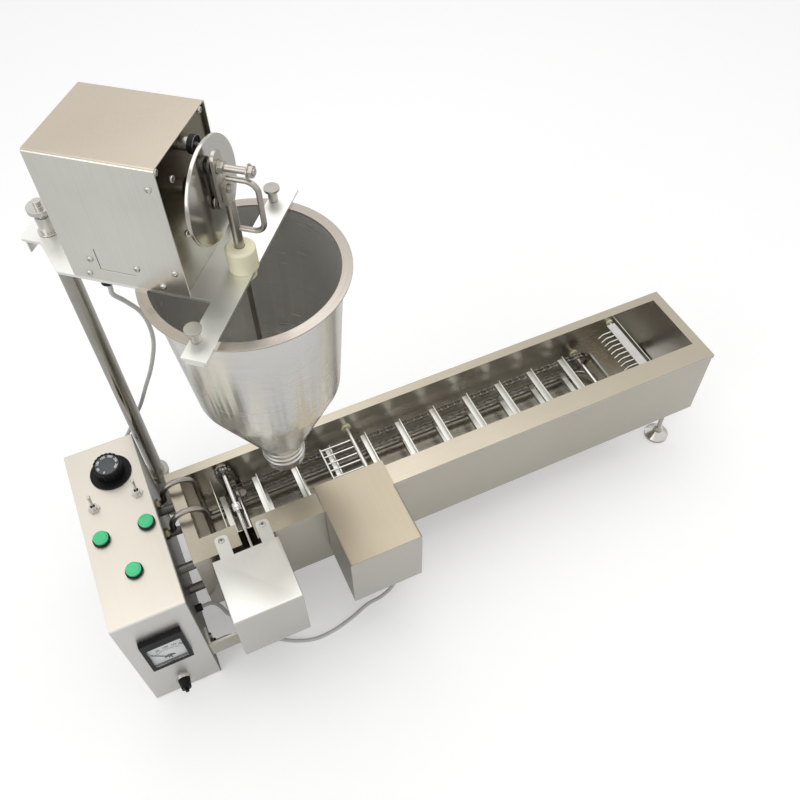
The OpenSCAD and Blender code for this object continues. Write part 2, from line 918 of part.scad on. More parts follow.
// Meter's frame with a window recess, and its barrel through the panel
module meter_case() {
    corner = 2;
    barrel_len = 30;
    color(black_plastic)
        on_bench()
            difference() {
                union() {
                    translate([meter_x - meter_w / 2, cabinet_y0, meter_mid_z - meter_h / 2])
                        rotate([90, 0, 0])
                            linear_extrude(height = meter_t)
                                round_rect(meter_w, meter_h, corner);
                    bar_y(meter_barrel_r, cabinet_y0 - meter_back_t / 2, cabinet_y0 + barrel_len,
                        meter_x, meter_mid_z);
                }
                block(meter_x - meter_window_w / 2, meter_x + meter_window_w / 2,
                    cabinet_y0 - meter_t - overrun, meter_face_y,
                    meter_window_z, meter_window_z + meter_window_h);
            }
}

// Meter's face plate with the needle's post
module meter_face() {
    color(pale_plastic)
        on_bench() {
            block(meter_x - meter_window_w / 2 + panel_fit, meter_x + meter_window_w / 2 - panel_fit,
                meter_face_y - meter_face_t, meter_face_y,
                meter_window_z + panel_fit, meter_window_z + meter_window_h - panel_fit);
            bar_y(needle_post_r, meter_face_y - meter_face_t - 2 * needle_gap - needle_t,
                meter_face_y - meter_face_t / 2, meter_x, needle_z);
        }
}

// Meter's needle, leaning to the left end of the scale
needle_lean = 40;
module meter_needle() {
    reach = meter_window_w * 0.7;
    tail = 4;
    root_w = 1.6;
    tip_w = 0.6;
    color(black_plastic)
        on_bench()
            translate([meter_x, meter_face_y - meter_face_t - needle_gap, needle_z])
                rotate([90, -needle_lean, 0])
                    linear_extrude(height = needle_t)
                        difference() {
                            union() {
                                circle(r = needle_r);
                                polygon([[-root_w / 2, -tail], [root_w / 2, -tail],
                                    [tip_w / 2, reach], [-tip_w / 2, reach]]);
                            }
                            circle(r = needle_post_r + pivot_fit);
                        }
}

// Meter's clear window
module meter_glass() {
    color([0.85, 0.9, 0.92, 0.4])
        on_bench()
            block(meter_x - meter_window_w / 2 + panel_fit, meter_x + meter_window_w / 2 - panel_fit,
                cabinet_y0 - meter_t + meter_glass_t / 2,
                cabinet_y0 - meter_t + 3 * meter_glass_t / 2,
                meter_window_z + panel_fit, meter_window_z + meter_window_h - panel_fit);
}

// Speed control: a can behind the panel, its bush and the bright ring in front
module speed_pot() {
    can_r = 12;
    can_len = 14;
    ring_r = speed_knob_r + 2;
    ring_t = 3;
    color(chrome)
        on_bench()
            difference() {
                union() {
                    bar_y(can_r, cabinet_y0 + sheet, cabinet_y0 + sheet + can_len, speed_x, speed_z);
                    bar_y(speed_bush_r, cabinet_y0 - ring_t, cabinet_y0 + can_len, speed_x, speed_z);
                    bar_y(ring_r, cabinet_y0 - ring_t, cabinet_y0, speed_x, speed_z);
                }
                bar_y(spindle_r + pivot_fit, cabinet_y0 - ring_t - overrun, cabinet_y0 + can_len,
                    speed_x, speed_z);
            }
}

// Speed knob: a tapered grip on a bright spindle that stands out of its end
module speed_knob() {
    ring_t = 3;
    tip_len = 5;
    base_y = cabinet_y0 - ring_t - running_gap;
    flutes = 12;
    flute_r = 1.4;
    color(black_plastic)
        on_bench()
            translate([speed_x, base_y, speed_z])
                rotate([90, 0, 0]) {
                    difference() {
                        cylinder(r1 = speed_knob_r, r2 = speed_knob_r * 0.8, h = speed_knob_len);
                        for (i = [0 : flutes - 1])
                            rotate(i * 360 / flutes)
                                bar_z(flute_r, -overrun, speed_knob_len + overrun,
                                    speed_knob_r + flute_r / 4, 0);
                    }
                    bar_z(spindle_r, -ring_t - overrun, speed_knob_len + tip_len);
                }
}

// A quarter or half turn of tube about the origin in the xy plane
module tube_turn(bend, r, a) {
    rotate_extrude(angle = a)
        translate([bend, 0])
            circle(r = r);
}

// One end of the heater: out of the cabinet, over the rim, down and along the tank
module heater_leg(y) {
    root = 16;
    bar_x(heater_r, cabinet_w - root, heater_rise_x - heater_bend_r, y, heater_gland_z);
    translate([heater_rise_x - heater_bend_r, y, heater_gland_z + heater_bend_r])
        rotate([90, 0, 0])
            rotate(-90)
                tube_turn(heater_bend_r, heater_r, 90);
    bar_z(heater_r, heater_gland_z + heater_bend_r, heater_arch_z, heater_rise_x, y);
    translate([heater_rise_x + heater_arch_r, y, heater_arch_z])
        rotate([90, 0, 0])
            tube_turn(heater_arch_r, heater_r, 180);
    bar_z(heater_r, heater_z + heater_bend_r, heater_arch_z, heater_bay_x, y);
    translate([heater_run_x0, y, heater_z + heater_bend_r])
        rotate([90, 0, 0])
            rotate(180)
                tube_turn(heater_bend_r, heater_r, 90);
    bar_x(heater_r, heater_run_x0, heater_run_x1, y, heater_z);
}

// Sheathed heater: two legs joined by a turn at the far end of the tank
module heater_tube() {
    color(dark_steel)
        on_bench() {
            for (y = heater_ys)
                heater_leg(y);
            translate([heater_run_x1, heater_y0 + heater_span / 2, heater_z])
                rotate(-90)
                    tube_turn(heater_span / 2, heater_r, 180);
        }
}

// Brass nuts that clamp the heater in the cabinet's side
module heater_glands() {
    color(brass)
        on_bench()
            for (y = heater_ys)
                difference() {
                    union() {
                        hex_x(gland_af, cabinet_w, cabinet_w + gland_len, y, heater_gland_z);
                        hex_x(gland_af, cabinet_w - sheet - gland_len, cabinet_w - sheet, y, heater_gland_z);
                    }
                    bar_x(heater_r + panel_fit / 2, cabinet_w - 2 * overrun, cabinet_w + 2 * overrun, y,
                        heater_gland_z);
                }
}

// Bolts that join the cabinet, trough, socket and tie bar, and the screws of the cover's tabs
module frame_fasteners() {
    nut_x = trough_x0 + 2 * sheet;
    color(chrome)
        on_bench() {
            for (p = standoff_spots) {
                bar_x(standoff_r, cabinet_w, trough_x0 + sheet, p[0], p[1]);
                bar_x(bolt_r, cabinet_w - 2 * bolt_head_h, nut_x + 1.5 * bolt_head_h, p[0], p[1]);
                hex_x(bolt_head_af, nut_x, nut_x + bolt_head_h, p[0], p[1]);
                hex_x(bolt_head_af, cabinet_w - sheet - bolt_head_h, cabinet_w - sheet, p[0], p[1]);
            }
            for (z = tie_bolt_zs) {
                hex_x(bolt_head_af, cabinet_w + tie_t, cabinet_w + tie_t + bolt_head_h, tie_bolt_y, z);
                bar_x(bolt_r, cabinet_w - 2 * bolt_head_h, cabinet_w + tie_t + bolt_head_h / 2,
                    tie_bolt_y, z);
            }
            for (z = socket_bolt_zs)
                translate([socket_bolt_x, cabinet_y1 + socket_plate_t, z])
                    rotate([-90, 0, 0]) {
                        hex_z(bolt_head_af, 0, bolt_head_h);
                        bar_z(bolt_r, -socket_plate_t - 2 * bolt_head_h, bolt_head_h / 2);
                    }
            for (x = tab_screw_xs)
                translate([x, tab_screw_y, rim_z + sheet])
                    pan_screw();
        }
}

// Feet of the trough: place of each stem
foot_x = trough_x1 - foot_inset_x;
front_foot_y = foot_front_y;
rear_foot_y = trough_w - foot_rear_y;
foot_boss_r = 6;
foot_boss_h = 10;

// Trough's outer casing with its bottom, open under the discharge
module trough_casing() {
    color(steel)
        on_bench()
            difference() {
                union() {
                    difference() {
                        block(trough_x0 + sheet, trough_x1 - sheet, sheet, trough_w - sheet,
                            casing_z, rim_z - sheet);
                        block(trough_x0 + 2 * sheet, trough_x1 - 2 * sheet, 2 * sheet,
                            trough_w - 2 * sheet, casing_z + sheet, rim_z + overrun);
                    }
                    for (y = [front_foot_y, rear_foot_y])
                        bar_z(foot_boss_r, casing_z + sheet / 2, casing_z + foot_boss_h, foot_x, y);
                }
                block(tank_x1 + sheet, discharge_x1, tank_y0, tank_y1, casing_z - overrun,
                    casing_z + overrun);
                block(drive_shaft_x - notch_w / 2, drive_shaft_x + notch_w / 2, -overrun, 2 * overrun,
                    drive_z - notch_below, rim_z + overrun);
                bar_y(shaft_r + 1, -overrun, 2 * overrun, turner_shaft_x, turner_z);
                for (y = [front_foot_y, rear_foot_y])
                    bar_z(foot_stem_r + pivot_fit, casing_z - overrun, casing_z + 3 * overrun, foot_x, y);
                for (p = standoff_spots)
                    bar_x(bolt_r + bolt_fit, trough_x0 - overrun, trough_x0 + 2 * overrun, p[0], p[1]);
                for (x = tab_screw_xs)
                    bar_z(screw_r + panel_fit, rim_z - 2 * overrun, rim_z + overrun, x, tab_screw_y);
            }
}

// Tank with its broad rim, turned-down edge, cross baffle and open discharge
module fryer_trough() {
    baffle_z0 = tank_z + 24;
    baffle_z1 = tank_z + 78;
    end_drop = 8;
    bay = tank_x0 + baffle_x;
    color(steel)
        on_bench()
            difference() {
                union() {
                    block(trough_x0, trough_x1, 0, trough_w, rim_z - sheet, rim_z);
                    difference() {
                        block(trough_x0, trough_x1, 0, trough_w, rim_z - rim_lip, rim_z - sheet / 2);
                        block(trough_x0 + sheet, trough_x1 - sheet, sheet, trough_w - sheet,
                            rim_z - rim_lip - overrun, rim_z);
                    }
                    difference() {
                        block(tank_x0 - sheet, discharge_x1 + sheet, tank_y0 - sheet, tank_y1 + sheet,
                            tank_z - sheet, rim_z - sheet / 2);
                        block(tank_x0, tank_x1, tank_y0, tank_y1, tank_z, rim_z + overrun);
                        block(tank_x1 + sheet, discharge_x1, tank_y0, tank_y1,
                            tank_z - sheet - overrun, rim_z + overrun);
                    }
                    block(bay, bay + sheet, tank_y0 - sheet / 2, tank_y1 + sheet / 2, baffle_z0, baffle_z1);
                }
                block(tank_x0, discharge_x1, tank_y0, tank_y1, rim_z - end_drop, rim_z + overrun);
                block(drive_shaft_x - notch_w / 2, drive_shaft_x + notch_w / 2, -overrun,
                    tank_y0 + overrun, drive_z - notch_below, rim_z + overrun);
                bar_y(shaft_r + 1, tank_y0 - 2 * overrun, tank_y0 + overrun, turner_shaft_x, turner_z);
                for (x = tab_screw_xs)
                    bar_z(screw_r + panel_fit, rim_z - 2 * overrun, rim_z + overrun, x, tab_screw_y);
            }
}

// One levelling foot: a bell pad and its threaded stem
module levelling_foot(y) {
    pad_h = 5;
    bell_h = 16;
    bell_r = 9;
    stem_top = casing_z + foot_boss_h + 3;
    color(chrome)
        on_bench()
            translate([foot_x, y, 0]) {
                rotate_extrude()
                    polygon([[0, 0], [foot_r, 0], [foot_r, pad_h], [bell_r, bell_h],
                        [bell_r, bell_h + pad_h], [0, bell_h + pad_h]]);
                bar_z(foot_stem_r, bell_h, stem_top);
                hex_z(3 * foot_stem_r, bell_h + pad_h - 1, bell_h + 2 * pad_h);
            }
}

module front_foot() {
    levelling_foot(front_foot_y);
}

module rear_foot() {
    levelling_foot(rear_foot_y);
}

// Tie bar: a foot on the cabinet's side, a strip and a lug under the gearmotor
module tie_bar() {
    lug_z = drive_z - motor_h + motor_top - motor_foot_t;
    x1 = cabinet_w + tie_len;
    color(steel)
        on_bench()
            difference() {
                union() {
                    block(cabinet_w, x1, tie_y - tie_t / 2, tie_y + tie_t / 2, tie_z0, tie_z1);
                    block(cabinet_w, cabinet_w + tie_t, tie_y, tie_y + tie_t / 2 + tie_foot,
                        tie_z0, tie_z1);
                    block(x1 - tie_lug_w, x1, tie_y - tie_t / 2, tie_y + tie_t / 2, tie_z0, lug_z);
                }
                for (z = tie_bolt_zs)
                    bar_x(bolt_r + bolt_fit, cabinet_w - overrun, cabinet_w + 2 * overrun, tie_bolt_y, z);
            }
}

// Column's socket with its lip and the plate that bolts to the cabinet's back
module column_socket() {
    floor_t = 5;
    lip = 3;
    lip_h = 8;
    color(steel)
        on_bench()
            difference() {
                union() {
                    bar_z(socket_r, 0, socket_h, col_x, col_y);
                    bar_z(socket_r + lip, socket_h - lip_h, socket_h, col_x, col_y);
                    block(col_x - socket_plate_w, col_x, cabinet_y1, cabinet_y1 + socket_plate_t,
                        socket_plate_z0, socket_plate_z1);
                }
                bar_z(column_r + pivot_fit, floor_t, socket_h + overrun, col_x, col_y);
                for (z = socket_bolt_zs)
                    bar_y(bolt_r + bolt_fit, cabinet_y1 - overrun, cabinet_y1 + 2 * overrun,
                        socket_bolt_x, z);
            }
}

// Cover over the conveyor's drive, with two tabs on the rim
module conveyor_cover() {
    color(steel)
        on_bench()
            difference() {
                union() {
                    translate([box1_x0, box1_y0, box1_z0])
                        cover_skin(box1_w, box1_d, box1_h);
                    for (x = [[tab_x0, tab_x1], [tab_x2, tab_x3]])
                        block(x[0], x[1], box1_y1 - fold_r, tab_reach, rim_z, rim_z + sheet);
                }
                bar_y(shaft_r + 2, box1_y1 - 2 * overrun, box1_y1 + overrun, drive_shaft_x, drive_z);
                for (x = tab_screw_xs)
                    bar_z(screw_r + panel_fit, rim_z - overrun, rim_z + overrun, x, tab_screw_y);
            }
}

// A gearmotor: gearbox with an output boss, round motor behind it and a foot plate
module gearmotor(x, z, top, box_x, can_x, seat_y) {
    box_z1 = z + top;
    box_z0 = box_z1 - motor_h;
    can_z = box_z1 - motor_can_r - 3;
    difference() {
        union() {
            block(box_x - motor_w / 2, box_x + motor_w / 2, motor_y0, motor_y1, box_z0, box_z1);
            bar_y(motor_can_r, motor_y0 - motor_can_len, motor_y0 + 1, can_x, can_z);
            bar_y(motor_boss_r, motor_y1 - 1, motor_y1 + 2, x, z);
            block(box_x - motor_w / 2, box_x + motor_w / 2, motor_y0 - motor_d / 2, motor_y1,
                box_z0 - motor_foot_t, box_z0);
            for (side = [-1, 1], pillar_z = [box_z0 + motor_pillar_in, box_z1 - motor_pillar_in])
                bar_y(motor_pillar_r, motor_y1 - 1, seat_y,
                    box_x + side * (motor_w / 2 - motor_pillar_in), pillar_z);
        }
        bar_y(shaft_r + pivot_fit, motor_y1 - motor_bore, motor_y1 + overrun, x, z);
    }
}

module conveyor_gearmotor() {
    color(dark_steel)
        on_bench()
            gearmotor(drive_shaft_x, drive_z, motor_top, drive_shaft_x, drive_shaft_x, box1_y1 - sheet);
}

// Cover over the turner's drive, whose top runs back over the rim
module turner_cover() {
    color(steel)
        on_bench()
            difference() {
                union() {
                    translate([box2_x0, box2_y0, box2_z0])
                        cover_skin(box2_w, box2_d - panel_fit, box2_h);
                    translate([box2_x0, -box2_over, rim_z])
                        difference() {
                            block(0, box2_w, box2_over - 2 * sheet, 2 * box2_over, 0, box2_rise);
                            block(sheet, box2_w - sheet, box2_over - overrun, 2 * box2_over - sheet,
                                -overrun, box2_rise - sheet);
                        }
                }
                bar_y(shaft_r + 1, -2 * overrun, overrun, turner_shaft_x, turner_z);
            }
}

module turner_gearmotor() {
    color(dark_steel)
        on_bench()
            gearmotor(turner_shaft_x, turner_z, turner_motor_top, turner_shaft_x - turner_motor_shift / 2,
                turner_shaft_x - turner_motor_shift, -panel_fit - sheet);
}

// A pan-head screw that stands along z, its head on the plane z = 0
module pan_screw() {
    rotate_extrude()
        polygon([[0, -screw_len], [screw_r, -screw_len], [screw_r, 0], [screw_head_r, 0],
            [screw_head_r, screw_head_h / 3], [screw_head_r * 0.7, screw_head_h], [0, screw_head_h]]);
}

// Flanged bushes on the tank's walls that carry the shafts and the comb's pivot
module shaft_bushes() {
    color(nylon)
        on_bench() {
            wall_bushes(feed_shaft_x, conveyor_z, shaft_r, bush_r);
            wall_bushes(tail_shaft_x, conveyor_z, shaft_r, bush_r);
            wall_bushes(comb_pivot_x, comb_pivot_z, comb_pivot_r, comb_pivot_r + 3);
            wall_bush(tank_y1 - bush_t, drive_shaft_x, drive_z, shaft_r, bush_r);
            wall_bush(tank_y1 - bush_t, turner_shaft_x, turner_z, shaft_r, bush_r);
        }
}

module wall_bush(y, x, z, r_in, r_out) {
    difference() {
        bar_y(r_out, y, y + bush_t, x, z);
        bar_y(r_in + pivot_fit, y - overrun, y + bush_t + overrun, x, z);
    }
}

module wall_bushes(x, z, r_in, r_out) {
    wall_bush(tank_y0, x, z, r_in, r_out);
    wall_bush(tank_y1 - bush_t, x, z, r_in, r_out);
}

// A sprocket on a shaft along y, in the middle of its chain
module chain_wheel(y, x, z, r, teeth) {
    tip_gap = 0.3;
    translate([x, y + (chain_w - sprocket_t) / 2, z])
        rotate([-90, 0, 0])
            sprocket(r - chain_pin_r - tip_gap, teeth, chain_pin_r, r, sprocket_t);
}

// Drive shaft over the trough, with its coupling and the sprocket at its back end
module drive_shaft() {
    set_screw_r = 2.5;
    color(chrome)
        on_bench() {
            bar_y(shaft_r, motor_y1 - motor_bore + running_gap, tank_y1 - running_gap,
                drive_shaft_x, drive_z);
            bar_y(coupling_r, coupling_y0, coupling_y0 + coupling_len, drive_shaft_x, drive_z);
            bar_z(set_screw_r, drive_z, drive_z + coupling_r + set_screw_r / 2, drive_shaft_x,
                coupling_y0 + coupling_len / 2);
            chain_wheel(transfer_chain_y0, drive_shaft_x, drive_z, transfer_r, transfer_teeth);
        }
}

// Feed shaft with a sprocket for each conveyor chain and one for the transfer chain
module feed_shaft() {
    color(chrome)
        on_bench() {
            bar_y(shaft_r, tank_y0 + running_gap, tank_y1 - running_gap, feed_shaft_x, conveyor_z);
            for (y = [front_chain_y0, back_chain_y0])
                chain_wheel(y, feed_shaft_x, conveyor_z, pitch_r, sprocket_teeth);
            chain_wheel(transfer_chain_y0, feed_shaft_x, conveyor_z, transfer_r, transfer_teeth);
        }
}

// Tail shaft with its two sprockets
module tail_shaft() {
    color(chrome)
        on_bench() {
            bar_y(shaft_r, tank_y0 + running_gap, tank_y1 - running_gap, tail_shaft_x, conveyor_z);
            for (y = [front_chain_y0, back_chain_y0])
                chain_wheel(y, tail_shaft_x, conveyor_z, pitch_r, sprocket_teeth);
        }
}

// One closed chain: two side plates' bands joined by a pin at every pitch
module chain_loop(span, links, r, teeth, plate_h) {
    step = span / links;
    for (z = [0, chain_w - chain_plate_t])
        translate([0, 0, z])
            linear_extrude(height = chain_plate_t)
                race(r - plate_h, r + plate_h, span);
    pin_z0 = chain_plate_t / 2;
    pin_z1 = chain_w - chain_plate_t / 2;
    for (i = [0 : links], side = [-1, 1])
        bar_z(chain_pin_r, pin_z0, pin_z1, i * step, side * r);
    for (i = [1 : teeth / 2 - 1]) {
        a = 90 + i * 360 / teeth;
        bar_z(chain_pin_r, pin_z0, pin_z1, r * cos(a), r * sin(a));
        bar_z(chain_pin_r, pin_z0, pin_z1, span - r * cos(a), r * sin(a));
    }
}

// Two conveyor chains and the transfer chain between the drive and feed shafts
module conveyor_chains() {
    transfer_links = round(transfer_span / transfer_pitch);
    color(dark_steel)
        on_bench() {
            for (y = [front_chain_y0, back_chain_y0])
                translate([feed_shaft_x, y + chain_w, conveyor_z])
                    rotate([90, 0, 0])
                        chain_loop(conveyor_run, run_links, pitch_r, sprocket_teeth, chain_plate_h);
            translate([feed_shaft_x, transfer_chain_y1, conveyor_z])
                rotate([90, 0, 0])
                    rotate(transfer_tilt)
                        chain_loop(transfer_span, transfer_links, transfer_r, transfer_teeth,
                            transfer_plate_h);
        }
}

// One flight across both chains: an upright blade on a foot, standing along z
module flight() {
    foot_w = 9;
    foot_t = 1.2;
    block(-foot_w, 0, front_chain_y0, back_chain_y1, 0, foot_t);
    block(-sheet, 0, front_chain_y0, back_chain_y1, 0, flight_h - chain_plate_h);
}

// Flights at equal links round the conveyor
module conveyor_flights() {
    first = 3;
    top = pitch_r + chain_plate_h;
    color(steel)
        on_bench() {
            for (k = [first : flight_links : run_links - 1]) {
                translate([feed_shaft_x + k * chain_pitch, 0, conveyor_z + top])
                    flight();
                translate([tail_shaft_x - k * chain_pitch, 0, conveyor_z - top])
                    rotate([0, 180, 0])
                        flight();
            }
            translate([tail_shaft_x + top + running_gap, 0, conveyor_z])
                rotate([0, 90, 0])
                    flight();
            translate([feed_shaft_x - top - running_gap, 0, conveyor_z])
                rotate([0, -90, 0])
                    flight();
        }
}

// Turner: a shaft with a row of tines that lies flat and swings over
module turner() {
    color(chrome)
        on_bench() {
            bar_y(shaft_r, motor_y1 - motor_bore + running_gap, tank_y1 - running_gap,
                turner_shaft_x, turner_z);
            for (y = tine_ys)
                bar_x(tine_r, turner_shaft_x - turner_reach, turner_shaft_x, y, turner_z);
            bar_y(tine_bar_r, tine_ys[0] - tine_bar_over, tine_ys[5] + tine_bar_over,
                turner_shaft_x - turner_reach, turner_z);
        }
}

// Exit comb: a flat bar on its pivot, with a row of bent wires
module exit_comb() {
    bar_x0 = comb_pivot_x - comb_bar_w * 0.7;
    y0 = tank_y0 + comb_wire_in / 2;
    y1 = tank_y0 + 2 * comb_wire_in + comb_wires * comb_wire_pitch;
    tip_x = comb_pivot_x - comb_reach + comb_tip_len * cos(comb_tip_turn);
    wire_z = comb_z - comb_bar_t / 2;
    color(chrome)
        on_bench() {
            bar_y(comb_pivot_r, tank_y0 + running_gap, tank_y1 - running_gap, comb_pivot_x, comb_pivot_z);
            block(bar_x0, bar_x0 + comb_bar_w, y0, y1, comb_z - comb_bar_t / 2, comb_z + comb_bar_t / 2);
            for (i = [0 : comb_wires - 1]) {
                y = tank_y0 + 1.5 * comb_wire_in + i * comb_wire_pitch;
                bar_x(comb_wire_r, tip_x, bar_x0 + comb_bar_w / 4, y, wire_z);
                translate([tip_x + comb_wire_r * 0.4, y, wire_z])
                    rotate([0, -90 - comb_tip_turn, 0])
                        cylinder(r = comb_wire_r, h = comb_tip_len);
            }
        }
}

// Column tube, plugged at its top for the knob's thread
module column_tube() {
    floor_t = 5;
    plug_h = 24;
    knob_stem_r = 4;
    color(steel)
        on_bench()
            difference() {
                bar_z(column_r, floor_t + running_gap, under_arm, col_x, col_y);
                bar_z(column_r - column_wall, floor_t - overrun, under_arm - plug_h, col_x, col_y);
                bar_z(knob_stem_r + pivot_fit, under_arm - plug_h - overrun, under_arm + overrun,
                    col_x, col_y);
            }
}

// Knob on the column's top: knurled drum, neck and disc on a threaded stem
module column_knob() {
    stem_r = 4;
    stem_len = 20;
    washer_r = 13;
    washer_t = 2;
    drum_r = 10;
    drum_h = 24;
    neck_r = 6;
    neck_h = 32;
    disc_edge_r = 15;
    disc_edge_h = 38;
    boss_r = 5;
    boss_h = 46;
    color(chrome)
        on_head()
            translate([0, 0, arm_z + running_gap])
                rotate_extrude()
                    polygon([[0, -stem_len], [stem_r, -stem_len], [stem_r, 0], [washer_r, 0],
                        [washer_r, washer_t], [drum_r, washer_t], [drum_r, drum_h], [neck_r, drum_h],
                        [neck_r, neck_h], [disc_edge_r, neck_h], [disc_edge_r, disc_edge_h],
                        [boss_r, disc_edge_h], [boss_r, boss_h], [0, boss_h]]);
}

// Arm: tail, tapered body and cross strip in one plate, with hooks under the hopper's rim
module arm_plate() {
    knob_hole_r = 4.3;
    hook_w = 22;
    hook_n1 = strip_len / 2;
    hook_n0 = hook_n1 - hook_t;
    lip_n0 = hopper_mouth_r + hopper_wall + 5;
    lip_z1 = hopper_rim_top - rim_t;
    lip_t = 3;
    flange_drop = 24;
    flange_z = under_arm - flange_drop;
    tail_flange_w = 30;
    color(steel)
        on_head()
            difference() {
                union() {
                    translate([0, 0, under_arm])
                        linear_extrude(height = arm_t) {
                            translate([-tail_len, -tail_w / 2])
                                round_rect(tail_len + 2 * tail_corner_r, tail_w, tail_corner_r);
                            polygon([[0, -tail_w / 2], [arm_taper_s, -arm_w / 2],
                                [strip_s0 + 1, -arm_w / 2], [strip_s0 + 1, arm_w / 2],
                                [arm_taper_s, arm_w / 2], [0, tail_w / 2]]);
                            translate([strip_s0, -strip_len / 2])
                                square([strip_w, strip_len]);
                        }
                    block(-tail_len, -tail_len + hook_t / 2, -tail_flange_w / 2, tail_flange_w / 2,
                        flange_z, under_arm + arm_t / 2);
                    for (side = [-1, 1])
                        scale([1, side, 1]) {
                            block(head_reach - hook_w / 2, head_reach + hook_w / 2, hook_n0, hook_n1,
                                lip_z1 - lip_t, under_arm + arm_t / 2);
                            block(head_reach - hook_w / 2, head_reach + hook_w / 2, lip_n0, hook_n1,
                                lip_z1 - lip_t, lip_z1);
                        }
                }
                bar_z(knob_hole_r, under_arm - overrun, arm_z + overrun);
                bar_z(guide_shank_r + panel_fit, under_arm - overrun, arm_z + overrun, head_reach, 0);
                bar_z(grommet_r, under_arm - overrun, arm_z + overrun, cable_hole_s, cable_hole_n);
                for (n = [-thumb_n, thumb_n])
                    bar_z(thumb_r + pivot_fit, under_arm - overrun, arm_z + overrun, thumb_s, n);
            }
}

// Head's housing: a folded cover, open towards the crank disc and below, with a slit round its
// service flap
hatch_s = 40;
hatch_z = 18;
hatch_w = 44;
hatch_h = 31;
hatch_slit = 0.8;
module head_cover() {
    color(steel)
        on_head()
            difference() {
                translate([head_back_s, -head_w / 2, arm_z])
                    rotate([90, 0, 90])
                        linear_extrude(height = head_len) {
                            square([head_w, head_h / 2]);
                            round_rect(head_w, head_h, fold_r + sheet);
                        }
                translate([head_back_s + sheet, -head_w / 2 + sheet, arm_z - overrun])
                    rotate([90, 0, 90])
                        linear_extrude(height = head_len)
                            round_rect(head_w - 2 * sheet, head_h - sheet + overrun, fold_r);
                translate([head_back_s + hatch_s, -head_w / 2, arm_z + hatch_z]) {
                    block(0, hatch_slit, -overrun, overrun, 0, hatch_h);
                    block(0, hatch_w, -overrun, overrun, 0, hatch_slit);
                }
            }
}

// End plate set inside the housing's open end, with the holes for the shaft and switch
module head_end_plate() {
    color(steel)
        on_head()
            difference() {
                translate([end_plate_s0, -head_w / 2 + sheet, arm_z])
                    rotate([90, 0, 90])
                        linear_extrude(height = end_plate_t) {
                            square([head_w - 2 * sheet, head_h / 2]);
                            round_rect(head_w - 2 * sheet, head_h - sheet, fold_r);
                        }
                bar_x(head_boss_r + panel_fit, end_plate_s0 - overrun, end_plate_s1 + overrun, 0, crank_z);
            }
}

// Gearmotor in the head: foot, gearbox, motor and the boss that carries the crank's shaft
head_boss_r = 12;
head_boss_s1 = end_plate_s1 + 3;
head_box_w = 60;
head_box_len = 48;
head_box_h = 86;
head_motor_r = 34;
head_motor_len = 70;
head_shaft_len = 38;
module head_gearmotor() {
    box_s1 = end_plate_s0 - 1;
    box_s0 = box_s1 - head_box_len;
    color(dark_steel)
        on_head()
            difference() {
                union() {
                    block(box_s0, box_s1, -head_box_w / 2, head_box_w / 2,
                        crank_z - head_box_h / 2, crank_z + head_box_h / 2);
                    block(box_s0, box_s1, -head_box_w / 3, head_box_w / 3, arm_z, crank_z);
                    block(box_s0 - head_box_len / 2, box_s1, -head_box_w / 2, head_box_w / 2,
                        arm_z, arm_z + arm_t);
                    bar_x(head_motor_r, box_s0 - head_motor_len, box_s0 + 1, 0, crank_z);
                    bar_x(head_boss_r, box_s1 - 1, head_boss_s1, 0, crank_z);
                }
                bar_x(crank_shaft_r + pivot_fit, head_boss_s1 - head_shaft_len, head_boss_s1 + overrun,
                    0, crank_z);
            }
}

// Screw heads of the housing's side, its end plate and the arm's tail
side_screws = [[134, 148], [31, 32], [23, 9], [88, 30], [135, 34], [115, 9]];
end_screws = [[-54, 165], [54, 165], [-29, 138], [-28, 64]];
module head_screws() {
    shank = end_plate_t;
    tail_screw_z = under_arm - 12;
    color(chrome)
        on_head() {
            for (p = side_screws)
                translate([head_back_s + p[0], -head_w / 2, arm_z + p[1]])
                    rotate([90, 0, 0])
                        screw_button();
            for (p = end_screws)
                translate([end_plate_s1, p[0], arm_z + p[1]])
                    rotate([0, 90, 0])
                        screw_button();
            translate([-tail_len, 0, tail_screw_z])
                rotate([0, -90, 0])
                    screw_button();
        }
}

// A screw's head, its seat on the plane z = 0
module screw_button() {
    rotate_extrude()
        polygon([[0, 0], [screw_head_r, 0], [screw_head_r, screw_head_h / 3],
            [screw_head_r * 0.7, screw_head_h], [0, screw_head_h]]);
}

// Crank disc with its hub, shaft and off-centre pin
module crank_disc() {
    hub_r = 13;
    hub_len = 8;
    edge = 0.8;
    color(steel)
        on_head() {
            translate([disc_s0, 0, crank_z])
                rotate([0, 90, 0])
                    rotate_extrude()
                        polygon([[0, 0], [disc_r - edge, 0], [disc_r, edge], [disc_r, disc_t - edge],
                            [disc_r - edge, disc_t], [0, disc_t]]);
            bar_x(hub_r, disc_s0 - hub_len, disc_s0 + disc_t / 2, 0, crank_z);
            bar_x(crank_shaft_r, head_boss_s1 - head_shaft_len + 1, disc_s0 + disc_t / 2, 0, crank_z);
            bar_x(crank_pin_r, disc_s0 + disc_t / 2, link_s1 + ring_gap + ring_t, 0, crank_pin_z);
            bar_x(ring_r, link_s1 + ring_gap, link_s1 + ring_gap + ring_t, 0, crank_pin_z);
            bar_x(ring_r + 1, disc_s1 - 1, link_s0 - ring_gap, 0, crank_pin_z);
        }
}

// Connecting link from the crank's pin up to the wrist
module crank_link() {
    color(dark_steel)
        on_head()
            translate([link_s0, 0, crank_pin_z])
                rotate([90, 0, 90])
                    linear_extrude(height = link_t)
                        difference() {
                            union() {
                                circle(r = link_eye_r);
                                translate([0, link_len])
                                    circle(r = link_eye_r);
                                translate([-link_w / 2, 0])
                                    square([link_w, link_len]);
                            }
                            circle(r = crank_pin_r + pivot_fit);
                            translate([0, link_len])
                                circle(r = wrist_r + 2 * panel_fit);
                        }
}

